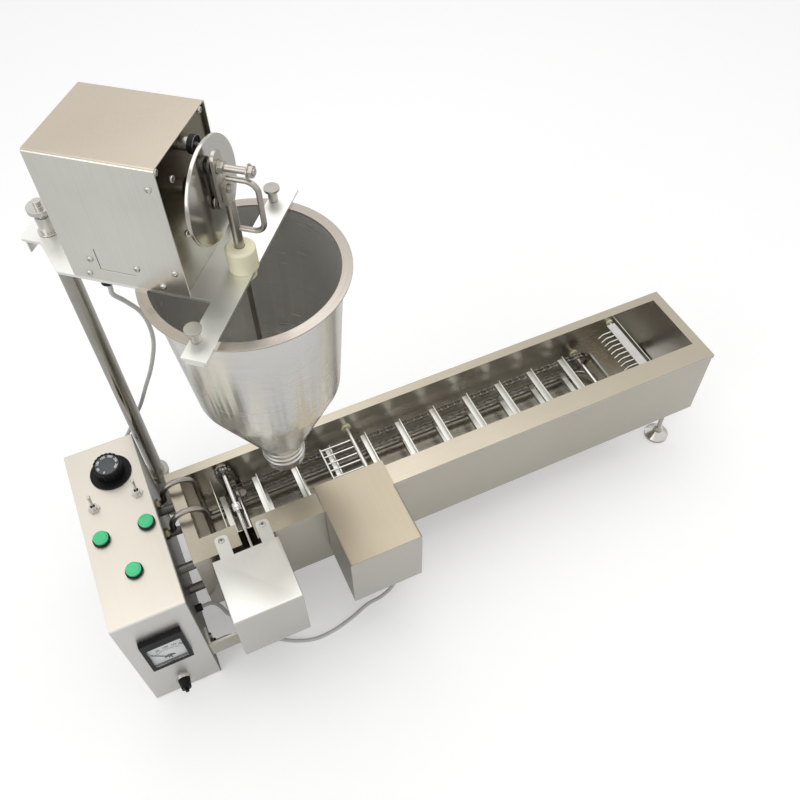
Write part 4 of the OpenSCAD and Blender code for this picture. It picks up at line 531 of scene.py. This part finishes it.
# The pane lets the lamps light the card behind it.
pane = dress("meter_glass", clear_pane)
pane.visible_shadow = False
pane.visible_diffuse = False
pivot = from_machine(53, -68.0, 138)
ink = plastic("ink", srgb(0.12, 0.12, 0.13), srgb(0.09, 0.09, 0.10), 0.5)
ink_lift = 0.00012


def on_card(across, height):
    """A place on the meter's card, from the needle's pivot, just proud of it."""
    return Vector((pivot.x + across, pivot.y - ink_lift, pivot.z + height))


def on_arc(radius, lean):
    """A place on the meter's card, out from the pivot at a lean from the vertical."""
    return on_card(radius * math.sin(math.radians(lean)), radius * math.cos(math.radians(lean)))


def arc_strip(inner, outer, start, end, steps):
    """A band of a ring on the meter's card, between two leans from the vertical."""
    points = [on_arc(r, start + (end - start) * i / steps) for i in range(steps + 1) for r in (inner, outer)]
    return points, [(2 * i, 2 * i + 2, 2 * i + 3, 2 * i + 1) for i in range(steps)]


swing = 40
inner_line, outer_line = (0.0256, 0.0262), (0.0300, 0.0303)
short_tick, long_tick, tick_half_lean = 0.0282, 0.0300, 0.5
tick_count, long_tick_every = 21, 5
bands = [arc_strip(*line, -swing, swing, steps=24) for line in (outer_line, inner_line)]
for i in range(tick_count):
    lean = 2 * swing * i / (tick_count - 1) - swing
    bands.append(arc_strip(inner_line[1], short_tick if i % long_tick_every else long_tick,
                           lean - tick_half_lean, lean + tick_half_lean, steps=1))
meter_scale = add_piece("meter_scale", *join_skins(bands), ink, "base", smooth=False)
meter_words = ["0", "50", "100", "150", "200"]
word_radius, word_size, word_thickness = 0.0345, 0.0058, 0.0001
stand_up = Matrix.Rotation(math.pi / 2, 4, "X")
places = []
for i in range(len(meter_words)):
    lean = 2 * swing * i / (len(meter_words) - 1) - swing
    tilt = Matrix.Rotation(math.radians(lean), 4, "Y")
    places.append(Matrix.Translation(on_arc(word_radius, lean)) @ tilt @ stand_up)
meter_figures = lettering("meter_figures", meter_words, places, word_size, word_thickness, ink, "base")
# The half-round cover of the adjusting screw stands at the window's foot.
foot_radius = 0.0085
foot_skin = arc_strip(0.0, foot_radius, -90, 90, steps=20)
meter_foot = add_piece("meter_foot", *foot_skin, black_moulded, "base", smooth=False)

# Speed control: a rotary control with a bright bush, held by a ring on the panel. Its knob is
# black moulded plastic with flutes, pressed on the spindle.
dress("speed_pot", bright_plate, fine_edge)
dress("speed_knob", black_moulded, fine_edge)

# Heater: one sheathed element, bent over the rim and along the tank's floor. Its steel sheath is
# darkened by heat, and brass nuts hold its ends.
heater_sheath = brushed_steel("heater_sheath", srgb(0.70, 0.68, 0.65), srgb(0.50, 0.48, 0.46), evenly(120.0),
                              gloss=0.2, spread=0.2, blotch=30.0)
dress("heater_tube", heater_sheath)
brass_nut = brushed_steel("brass_nut", srgb(0.62, 0.56, 0.42), srgb(0.48, 0.42, 0.30), evenly(200.0))
dress("heater_glands", brass_nut, small_edge)

# Fryer trough: a tank hung by its broad rim in an outer casing, both folded from brushed
# stainless sheet. Dark bolts and a tie bar hold it, and bright feet level its far end.
rim_edge, machined_edge = 0.0007, 0.0005
fold_depth = 0.0015
trough_steel = brushed_steel("trough_steel", srgb(0.82, 0.80, 0.755), srgb(0.73, 0.715, 0.67), along_x)
# The rim's top gets a painted shade, darker and warmer, for how the rim catches the light.
tank_steel = brushed_steel(
    "tank_steel", srgb(0.84, 0.82, 0.78), srgb(0.73, 0.71, 0.67), along_x, gloss=0.2, blotch=14.0,
    painted_top_shade=srgb(0.89, 0.87, 0.83), top_height=near_top("fryer_trough", fold_depth))
dark_bolt = brushed_steel("dark_bolt", srgb(0.50, 0.49, 0.47), srgb(0.38, 0.37, 0.35), evenly(150.0),
                          gloss=0.25, blotch=60.0)
dress("fryer_trough", tank_steel, rim_edge, 3)
dress("trough_casing", trough_steel, sheet_edge)
dress("frame_fasteners", dark_bolt, fine_edge)
dress("front_foot", bright_plate, machined_edge)
dress("rear_foot", bright_plate, machined_edge)
dress("tie_bar", trough_steel, sheet_edge)

# Drive covers: two folded boxes of stainless sheet ahead of the trough, each over a gearmotor.
# The left one has two tabs, which button-head screws hold to the trough's rim.
cover_steel = brushed_steel("cover_steel", srgb(0.86, 0.855, 0.83), srgb(0.78, 0.775, 0.75), along_y,
                            blotch=10.0)


def soft_block(name, low, high, rounding):
    """A block whose edges are rounded, except round its foot."""
    block = bmesh.new()
    bmesh.ops.create_cube(block, size=1.0)
    for v in block.verts:
        v.co = Vector(low[i] if v.co[i] < 0 else high[i] for i in range(3))
    if rounding:
        edges = [e for e in block.edges if max(v.co.z for v in e.verts) > low[2] + 1e-6]
        bmesh.ops.bevel(block, geom=edges, offset=rounding, segments=4, profile=0.5, affect="EDGES")
    mesh = bpy.data.meshes.new(name)
    block.to_mesh(mesh)
    block.free()
    return new_object(name, mesh)


def prism_skin(near, far):
    """Points and faces of a solid between two outlines of the same shape."""
    count = len(near)
    faces = [tuple(range(count)), tuple(reversed(range(count, 2 * count)))]
    faces += [(k, k + count, (k + 1) % count + count, (k + 1) % count) for k in range(count)]
    return near + far, faces


def tab(x, width, root, tip, low, high, corner):
    """A flat tab with a rounded tip, running back from its root."""
    corner_steps = 6
    outline = [(x - width / 2, root)]
    for side, start in ((-1, 180), (1, 90)):
        for k in range(corner_steps + 1):
            turn = math.radians(start - 90 / corner_steps * k)
            outline.append((x + side * (width / 2 - corner) + corner * math.cos(turn),
                            tip - corner + corner * math.sin(turn)))
    outline.append((x + width / 2, root))
    points, faces = prism_skin([(px, py, low) for px, py in outline], [(px, py, high) for px, py in outline])
    mesh = bpy.data.meshes.new("tab")
    mesh.from_pydata(points, [], faces)
    mesh.update()
    return new_object("tab", mesh)


def cut_and_weld(name, body_piece, steps, material):
    """Runs solid cuts and joins one after another, and leaves a single plain mesh."""
    for operation, tool in steps:
        step = body_piece.modifiers.new(operation, "BOOLEAN")
        step.operation = operation
        step.solver = "EXACT"
        step.object = tool
    bpy.context.view_layer.update()
    mesh = bpy.data.meshes.new_from_object(
        body_piece.evaluated_get(bpy.context.evaluated_depsgraph_get()))
    mesh.name = name
    for tool in [body_piece] + [s[1] for s in steps]:
        spent = tool.data
        bpy.data.objects.remove(tool)
        bpy.data.meshes.remove(spent)
    mesh.materials.clear()
    mesh.materials.append(material)
    mesh.polygons.foreach_set("use_smooth", [True] * len(mesh.polygons))
    mesh.set_sharp_from_angle(angle=crease_angle)
    return new_object(name, mesh)


def hexagon(across_flats):
    """The radius of a hexagon round its turn."""
    half = across_flats / 2
    return lambda turn: half / math.cos((turn % math.radians(60)) - math.radians(30))


def button_screws(name, places, radius, height, body):
    """Button-head screws with a hexagon socket, joined in one piece."""
    socket_share, socket_floor_share = 0.85, 0.25
    head_shares = [(1.0, 0.0), (1.0, 0.3), (0.9, 0.72), (0.66, 1.0)]
    socket = hexagon(radius * socket_share)
    profile = [(radius * across, height * up) for across, up in head_shares]
    profile += [(socket, height), (socket, height * socket_floor_share)]
    skins = [turned_skin(profile, place, axis, steps=24, closed=False) for place, axis in places]
    return turned_piece(name, skins, bright_plate, body)


# The drive shaft and the way cut round it, in the machine's own millimetres.
drive_x, drive_z = 217, 230
way_half, way_front, way_back = 8, -16, -4
cover_low, cover_high = from_machine(155, -112, 131.5), from_machine(258, -9, 245.5)
cover_sheet, cover_fold, inner_fold = 0.0015, 0.0022, 0.0012
cut_past = 0.01
tab_screw_places = [from_machine(x, 18, 245.5) for x in (179, 242.5)]
tab_width, tab_corner, tab_past_screw, tab_overlap = 0.020, 0.006, 0.0085, 0.006
hood = soft_block("hood", tuple(cover_low), tuple(cover_high), cover_fold)
inside = soft_block("inside", (cover_low.x + cover_sheet, cover_low.y + cover_sheet, cover_low.z - cut_past),
                    (cover_high.x - cover_sheet, cover_high.y - cover_sheet, cover_high.z - cover_sheet),
                    inner_fold)
shaft_way = soft_block("shaft_way", tuple(from_machine(drive_x - way_half, way_front, drive_z - way_half)),
                       tuple(from_machine(drive_x + way_half, way_back, drive_z + way_half)), 0.0)
tabs = [("UNION", tab(p.x, tab_width, cover_high.y - tab_overlap, p.y + tab_past_screw,
                      cover_high.z - cover_sheet, cover_high.z, tab_corner)) for p in tab_screw_places]
conveyor_hood = cut_and_weld("conveyor_hood", hood,
                             [("DIFFERENCE", inside)] + tabs + [("DIFFERENCE", shaft_way)], cover_steel)
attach(conveyor_hood, "base")
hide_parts("conveyor_cover")
tab_screw_radius, tab_screw_height = 0.0048, 0.003
tab_screws = button_screws("tab_screws", [(p, (0, 0, 1)) for p in tab_screw_places], tab_screw_radius,
                           tab_screw_height, "base")
# The cover's top gets a painted shade, darker and warmer, for how the top catches the light.
turner_cover_steel = brushed_steel(
    "turner_cover_steel", srgb(0.84, 0.83, 0.80), srgb(0.75, 0.74, 0.71), along_y, gloss=0.22,
    painted_top_shade=srgb(0.80, 0.76, 0.70), top_height=near_top("turner_cover", fold_depth))
dress("turner_cover", turner_cover_steel, sheet_edge)
motor_paint = plastic("motor_paint", srgb(0.36, 0.36, 0.36), srgb(0.30, 0.30, 0.30), 0.45)
motor_edge = 0.0008
for node in ("conveyor_gearmotor", "turner_gearmotor", "head_gearmotor"):
    dress(node, motor_paint, motor_edge)

# Conveyor: steel shafts turn in nylon bushes and carry two roller chains along the tank, with a
# flight across them every few links. A short chain of finer pitch drives them from above.
nylon = plastic("nylon", srgb(0.93, 0.91, 0.78), srgb(0.88, 0.85, 0.70), 0.4)
nylon.node_tree.nodes["Principled BSDF"].inputs["Subsurface Weight"].default_value = 0.1
dress("shaft_bushes", nylon, small_edge)
shaft_edge = 0.0002
for node in ("drive_shaft", "feed_shaft", "tail_shaft", "turner", "exit_comb"):
    dress(node, bright_plate, shaft_edge)
chain_steel = brushed_steel("chain_steel", srgb(0.62, 0.61, 0.59), srgb(0.48, 0.47, 0.45), evenly(200.0),
                            gloss=0.25, blotch=80.0)
# Shares of the chain's width for a plate and a gap, and of a plate's radius for its waist.
plate_share, gap_share, waist_share = 0.1, 0.012, 0.62
plate_arc, arc_steps, pin_sides = 230, 8, 10
# The feed shaft and the chains, in the machine's own millimetres.
feed_x, feed_z = 228, 176
chain_width, chain_pin, sprocket_teeth = 9, 1.5, 8
chain_step, chain_links_along, chain_plate = 12.7, 51, 3.5
transfer_step, transfer_links_along, transfer_plate = 8, 7, 3.0
chain_ys, transfer_y = (41, 125.5), 137.5


def chain_skin(pins, y_near, plate_radius, place):
    """Pins, and outer and inner plates by turns, for one closed run of roller chain."""
    plate, gap = chain_width * plate_share, chain_width * gap_share
    solids = []

    def add_prism(outline, near, far):
        solids.append(prism_skin(*([place(px, pz, y) for px, pz in outline] for y in (near, far))))

    for i, (px, pz) in enumerate(pins):
        qx, qz = pins[(i + 1) % len(pins)]
        lean = math.atan2(qz - pz, qx - px)
        outline = []
        for cx, cz, start in ((qx, qz, -plate_arc / 2), (px, pz, 180 - plate_arc / 2)):
            for k in range(arc_steps + 1):
                turn = lean + math.radians(start + k * plate_arc / arc_steps)
                outline.append((cx + plate_radius * math.cos(turn), cz + plate_radius * math.sin(turn)))
            side = lean + math.pi / 2 * (1 if start < 0 else -1)
            outline.append(((px + qx) / 2 + plate_radius * waist_share * math.cos(side),
                            (pz + qz) / 2 + plate_radius * waist_share * math.sin(side)))
        inset = gap if i % 2 else plate + 2 * gap
        add_prism(outline, y_near + inset, y_near + inset + plate)
        add_prism(outline, y_near + chain_width - inset - plate, y_near + chain_width - inset)
        ring = [(px + chain_pin * math.cos(2 * k * math.pi / pin_sides),
                 pz + chain_pin * math.sin(2 * k * math.pi / pin_sides)) for k in range(pin_sides)]
        add_prism(ring, y_near, y_near + chain_width)
    return join_skins(solids)


def chain_pins(span, links, step):
    """Pin centres round two sprockets, from the top of the first one."""
    radius = step / (2 * math.sin(math.pi / sprocket_teeth))
    between, turn = span / links, 360 / sprocket_teeth
    round_far = [math.radians(90 - turn * k) for k in range(1, sprocket_teeth // 2)]
    round_near = [math.radians(-90 - turn * k) for k in range(1, sprocket_teeth // 2)]
    return ([(k * between, radius) for k in range(links + 1)]
            + [(span + radius * math.cos(a), radius * math.sin(a)) for a in round_far]
            + [(span - k * between, -radius) for k in range(links + 1)]
            + [(radius * math.cos(a), radius * math.sin(a)) for a in round_near])


def chain_place(lean):
    """A rule that lays a run of chain out from the feed shaft, at a lean from the level."""
    return lambda px, pz, y: from_machine(feed_x + px * math.cos(lean) - pz * math.sin(lean), y,
                                          feed_z + px * math.sin(lean) + pz * math.cos(lean))


rise_x, rise_z = drive_x - feed_x, drive_z - feed_z
long_run = chain_pins(chain_links_along * chain_step, chain_links_along, chain_step)
short_run = chain_pins(math.hypot(rise_x, rise_z), transfer_links_along, transfer_step)
chains = [chain_skin(long_run, y, chain_plate, chain_place(0.0)) for y in chain_ys]
chains.append(chain_skin(short_run, transfer_y, transfer_plate, chain_place(math.atan2(rise_z, rise_x))))
roller_chains = add_piece("roller_chains", *join_skins(chains), chain_steel, "base", smooth=False)
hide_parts("conveyor_chains")
dress("conveyor_flights", cover_steel)

# Column: a drawn stainless tube, which stands in a welded socket at the cabinet's back corner.
# A bright knurled knob clamps the head to it.
column_steel = brushed_steel("column_steel", srgb(0.70, 0.69, 0.66), srgb(0.56, 0.55, 0.52), along_z,
                             gloss=0.12, blotch=30.0)
dress("column_socket", column_steel, machined_edge)
dress("column_tube", column_steel, fine_edge)
dress("column_knob", bright_plate, small_edge)

# Head: a welded arm plate under a folded housing of thin sheet, with a screwed end plate set in
# it. Button-head screws with hexagon sockets hold the housing to the motor's frame.
up_the_head = (500.0, 500.0, 9.0)
arm_top = 668
# The head cover's top gets a painted shade, warmer and darker, for how the top catches the light.
head_steel = brushed_steel(
    "head_steel", srgb(0.90, 0.895, 0.87), srgb(0.76, 0.755, 0.72), up_the_head, gloss=0.22, blotch=9.0,
    painted_top_shade=srgb(0.91, 0.865, 0.82), top_height=near_top("head_cover", fold_depth))
arm_steel = brushed_steel("arm_steel", srgb(0.95, 0.95, 0.93), srgb(0.89, 0.89, 0.87), evenly(90.0),
                          gloss=0.3, blotch=22.0)
# The end plate's darker tone is painted shade, for the dark that it reflects. Above 0.70 m a further painted
# shade darkens it.
shaded_end_steel = brushed_steel(
    "shaded_end_steel", srgb(0.66, 0.65, 0.61), srgb(0.52, 0.51, 0.47), up_the_head, gloss=0.14, blotch=13.0,
    painted_top_shade=srgb(0.72, 0.69, 0.62), top_height=0.70, top_fade=0.06)
dress("arm_plate", arm_steel, small_edge)
dress("head_cover", head_steel, sheet_edge)
dress("head_end_plate", shaded_end_steel, sheet_edge)
dress("head_grommet", black_moulded, fine_edge)
dress("cable_glands", black_moulded, fine_edge)
along_arm = Vector((0.767277, -0.641316, 0))
across_arm = Vector((0.641316, 0.767277, 0))
column_x, column_y = 118, 266


def on_head(s, n, z):
    """A place on the head: out along the arm from the column, across it, and up from the bench."""
    return from_machine(column_x, column_y, z) + (along_arm * s + across_arm * n) / 1000


housing_back, housing_half, end_face = 68, 62, 210
side_places = [(134, 148), (31, 32), (23, 9), (88, 30), (135, 34), (115, 9)]
end_places = [(-54, 165), (54, 165), (-29, 138), (-28, 64)]
screw_radius, screw_height = 0.004, 0.0022
housing_screws = button_screws(
    "housing_screws",
    [(on_head(housing_back + s, -housing_half, arm_top + z), -across_arm) for s, z in side_places]
    + [(on_head(end_face, n, arm_top + z), along_arm) for n, z in end_places],
    screw_radius, screw_height, "head")
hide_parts("head_screws")

# Depositor: the crank disc turns on the motor's shaft, and its link lifts the crosshead and the
# plunger in a nylon guide. The pieces are machined from stainless bar and plate.
rod_steel = brushed_steel("rod_steel", srgb(0.74, 0.72, 0.69), srgb(0.60, 0.58, 0.55), (200.0, 200.0, 30.0),
                          gloss=0.2, blotch=40.0, bump=0.06)
dark_steel = brushed_steel("dark_steel", srgb(0.50, 0.48, 0.45), srgb(0.36, 0.34, 0.32), evenly(150.0),
                           gloss=0.26, blotch=60.0)


def make_turned_grain():
    """The fine rings that a lathe leaves round an axis, and a mask of the faces that look to it."""
    cone_share, facing_in = 1.6, -1e-4
    group, takes, gives = new_group(
        "turned_grain",
        metal_takes + [("Axis Place", "Vector", (0.0, 0.0, 0.0)), ("Axis Lean", "Vector", (0.0, 0.0, 0.0)),
                       ("Ring Fineness", "Float", 500.0)],
        [("Colour", "Color"), ("Roughness", "Float"), ("Height", "Float"), ("Inside", "Float")])
    place = group.nodes.new("ShaderNodeTexCoord")
    spot = place.outputs["Object"]
    from_axis = vector_node(group, "SUBTRACT", spot, takes["Axis Place"])
    level = vector_node(group, "MULTIPLY", from_axis.outputs[0], (1.0, 1.0, 0.0))
    outward = vector_node(group, "DOT_PRODUCT", level.outputs[0], place.outputs["Normal"])
    feed(group, gives["Inside"], math_node(group, "LESS_THAN", outward.outputs["Value"], facing_in))
    on_axis = group.nodes.new("ShaderNodeMapping")
    on_axis.vector_type = "TEXTURE"
    feed(group, on_axis.inputs["Vector"], spot)
    feed(group, on_axis.inputs["Location"], takes["Axis Place"])
    feed(group, on_axis.inputs["Rotation"], takes["Axis Lean"])
    parts = group.nodes.new("ShaderNodeSeparateXYZ")
    feed(group, parts.inputs[0], on_axis.outputs[0])
    x, y, z = parts.outputs
    radius = math_node(group, "SQRT", math_node(group, "ADD", math_node(group, "MULTIPLY", x, x),
                                                math_node(group, "MULTIPLY", y, y)))
    rise = math_node(group, "ADD", math_node(group, "MULTIPLY", radius, cone_share), z)
    turn = math_node(group, "ARCTAN2", y, x)
    wound = group.nodes.new("ShaderNodeCombineXYZ")
    feed(group, wound.inputs["X"], math_node(group, "COSINE", turn))
    feed(group, wound.inputs["Y"], math_node(group, "SINE", turn))
    feed(group, wound.inputs["Z"], math_node(group, "MULTIPLY", takes["Ring Fineness"], rise))
    rings = noise_node(group, wound.outputs[0], 1.0, rough=0.7)
    finish_metal(group, takes, gives, spot, rings, grain_share=0.6)
    return group


turned_grain = make_turned_grain()


def turned_steel(name, light, dark, place, lean=(0.0, 0.0, 0.0), rings_per_metre=500.0, gloss=0.14,
                 spread=0.15, blotch=9.0, bump=0.12, painted_top_shade=plain_white, top_height=above_all,
                 inside_metal=1.0):
    """Turned or spun steel. Where inside_metal is under 1, the inside of the piece shows darker."""
    outside_metal = 0.9
    material, tree, shader = new_material(name, metallic=1.0)
    grain = use_group(tree, shader, turned_grain,
                      {"Light Tone": light, "Dark Tone": dark, "Axis Place": tuple(place), "Axis Lean": lean,
                       "Ring Fineness": rings_per_metre, "Blotch Size": blotch, "Gloss": gloss,
                       "Gloss Spread": spread, "Painted Top Shade": painted_top_shade, "Top Height": top_height}, bump)
    if inside_metal < 1.0:
        metal = tree.nodes.new("ShaderNodeMapRange")
        metal.inputs["To Min"].default_value = outside_metal
        metal.inputs["To Max"].default_value = inside_metal
        feed(tree, metal.inputs["Value"], grain.outputs["Inside"])
        feed(tree, shader.inputs["Metallic"], metal.outputs["Result"])
    return material


crank_centre = on_head(233, 0, 773)
arm_lean = math.atan2(along_arm.y, along_arm.x)
disc_steel = turned_steel("disc_steel", srgb(0.80, 0.79, 0.76), srgb(0.66, 0.65, 0.62), crank_centre,
                          lean=(0.0, math.pi / 2, arm_lean), rings_per_metre=900.0, gloss=0.1, spread=0.14,
                          bump=0.05)
dress("crank_disc", disc_steel, machined_edge)
dress("crosshead", rod_steel, small_edge)
dress("plunger", rod_steel, fine_edge)
dress("lift_handle", rod_steel)
dress("wrist_stud", rod_steel, fine_edge)
thumb_steel = brushed_steel("thumb_steel", srgb(0.74, 0.73, 0.70), srgb(0.60, 0.59, 0.56), evenly(150.0),
                            blotch=60.0)
knurl_edge = 0.0006
dress("thumb_screw_front", thumb_steel, knurl_edge)
dress("thumb_screw_rear", thumb_steel, knurl_edge)
dress("stop_button", bright_plate, fine_edge)
dress("crank_link", dark_steel, fine_edge)
bush_nylon = plastic("bush_nylon", srgb(0.985, 0.965, 0.85), srgb(0.955, 0.93, 0.79), 0.35, grain=500.0)
bush_edge = 0.0012
dress("guide_bush", bush_nylon, bush_edge, 3)
dress("stop_switch", thumb_steel, fine_edge)
ring_bore, ring_radius, ring_depth = 0.0036, 0.0102, 0.0072
ring_chamfer_in, ring_chamfer_rise = 0.0005, 0.0006
ring_profile = [(ring_bore, 0.0), (ring_radius - ring_chamfer_in, 0.0), (ring_radius, ring_chamfer_rise),
                (ring_radius, ring_depth - ring_chamfer_rise), (ring_radius - ring_chamfer_in, ring_depth),
                (ring_bore, ring_depth)]
ring_skin = turned_skin(ring_profile, on_head(220.9, 4, 827), along_arm, steps=48, closed=True)
switch_ring = turned_piece("switch_ring", [ring_skin], black_moulded, "head")

# Hopper: a cone spun from stainless sheet, with a flat rim, carried by the arm plate. Its ringed
# nozzle is turned from bar.
hopper_centre = on_head(254.15, 0, 0)
rim_depth = 0.0028
# The hopper's rim gets a painted shade, darker and warmer, for how the rim catches the light.
hopper_steel = turned_steel(
    "hopper_steel", srgb(0.94, 0.935, 0.92), srgb(0.80, 0.79, 0.77), hopper_centre, rings_per_metre=260.0,
    spread=0.22, blotch=7.0, bump=0.15, painted_top_shade=srgb(0.80, 0.77, 0.745),
    top_height=near_top("hopper", rim_depth), inside_metal=0.62)
dress("hopper", hopper_steel, small_edge)
dress("nozzle", hopper_steel, fine_edge)

# Studio: a pale floor, a white surround and soft lamps. Of these, only the floor is a mesh.
floor_half, floor_glow = 6.0, 0.27
floor_material, tree, shader = new_material("floor", (0.80, 0.80, 0.80), rough=0.6)
# The floor glows to the camera alone, so it shows pale under plain lamps and lights nothing.
glow = tree.nodes.new("ShaderNodeEmission")
glow.inputs["Strength"].default_value = floor_glow
both = tree.nodes.new("ShaderNodeAddShader")
pick = tree.nodes.new("ShaderNodeMixShader")
path = tree.nodes.new("ShaderNodeLightPath")
feed(tree, both.inputs[0], shader.outputs[0])
feed(tree, both.inputs[1], glow.outputs[0])
feed(tree, pick.inputs[0], path.outputs["Is Camera Ray"])
feed(tree, pick.inputs[1], shader.outputs[0])
feed(tree, pick.inputs[2], both.outputs[0])
feed(tree, tree.nodes["Material Output"].inputs["Surface"], pick.outputs[0])
corners = [(-floor_half, -floor_half, 0), (floor_half, -floor_half, 0),
           (floor_half, floor_half, 0), (-floor_half, floor_half, 0)]
floor = add_piece("floor", corners, [(0, 1, 2, 3)], floor_material, None, smooth=False)

world = bpy.data.worlds.new("studio")
bpy.context.scene.world = world
world.use_nodes = True
tree = world.node_tree
surround = tree.nodes["Background"]
surround.inputs["Color"].default_value = (1, 1, 1, 1)
path = tree.nodes.new("ShaderNodeLightPath")
seen = math_node(tree, "MAXIMUM", path.outputs["Is Camera Ray"],
                 math_node(tree, "MAXIMUM", path.outputs["Is Glossy Ray"],
                           path.outputs["Is Transmission Ray"]))
# The surround lights the machine less than it shows.
lighting_level, seen_level = 0.62, 1.0
level = tree.nodes.new("ShaderNodeMapRange")
level.inputs["To Min"].default_value = lighting_level
level.inputs["To Max"].default_value = seen_level
feed(tree, level.inputs["Value"], seen)
feed(tree, surround.inputs["Strength"], level.outputs["Result"])


def soft_lamp(name, place, aim, size, power):
    """A broad lamp that shines from its place to where it aims."""
    lamp = bpy.data.lights.new(name, "AREA")
    lamp.shape = "RECTANGLE"
    lamp.size, lamp.size_y = size
    lamp.energy = power
    rig = new_object(name, lamp)
    rig.location = place
    rig.rotation_euler = (Vector(aim) - Vector(place)).to_track_quat("-Z", "Y").to_euler()


soft_lamp("top_lamp", (0.3, 0.3, 2.8), (0, 0, 0.3), (3.0, 2.4), 28)
soft_lamp("left_lamp", (-2.2, -0.9, 1.7), (0, 0, 0.4), (1.2, 1.8), 9)

bpy.context.scene.view_settings.view_transform = "Standard"
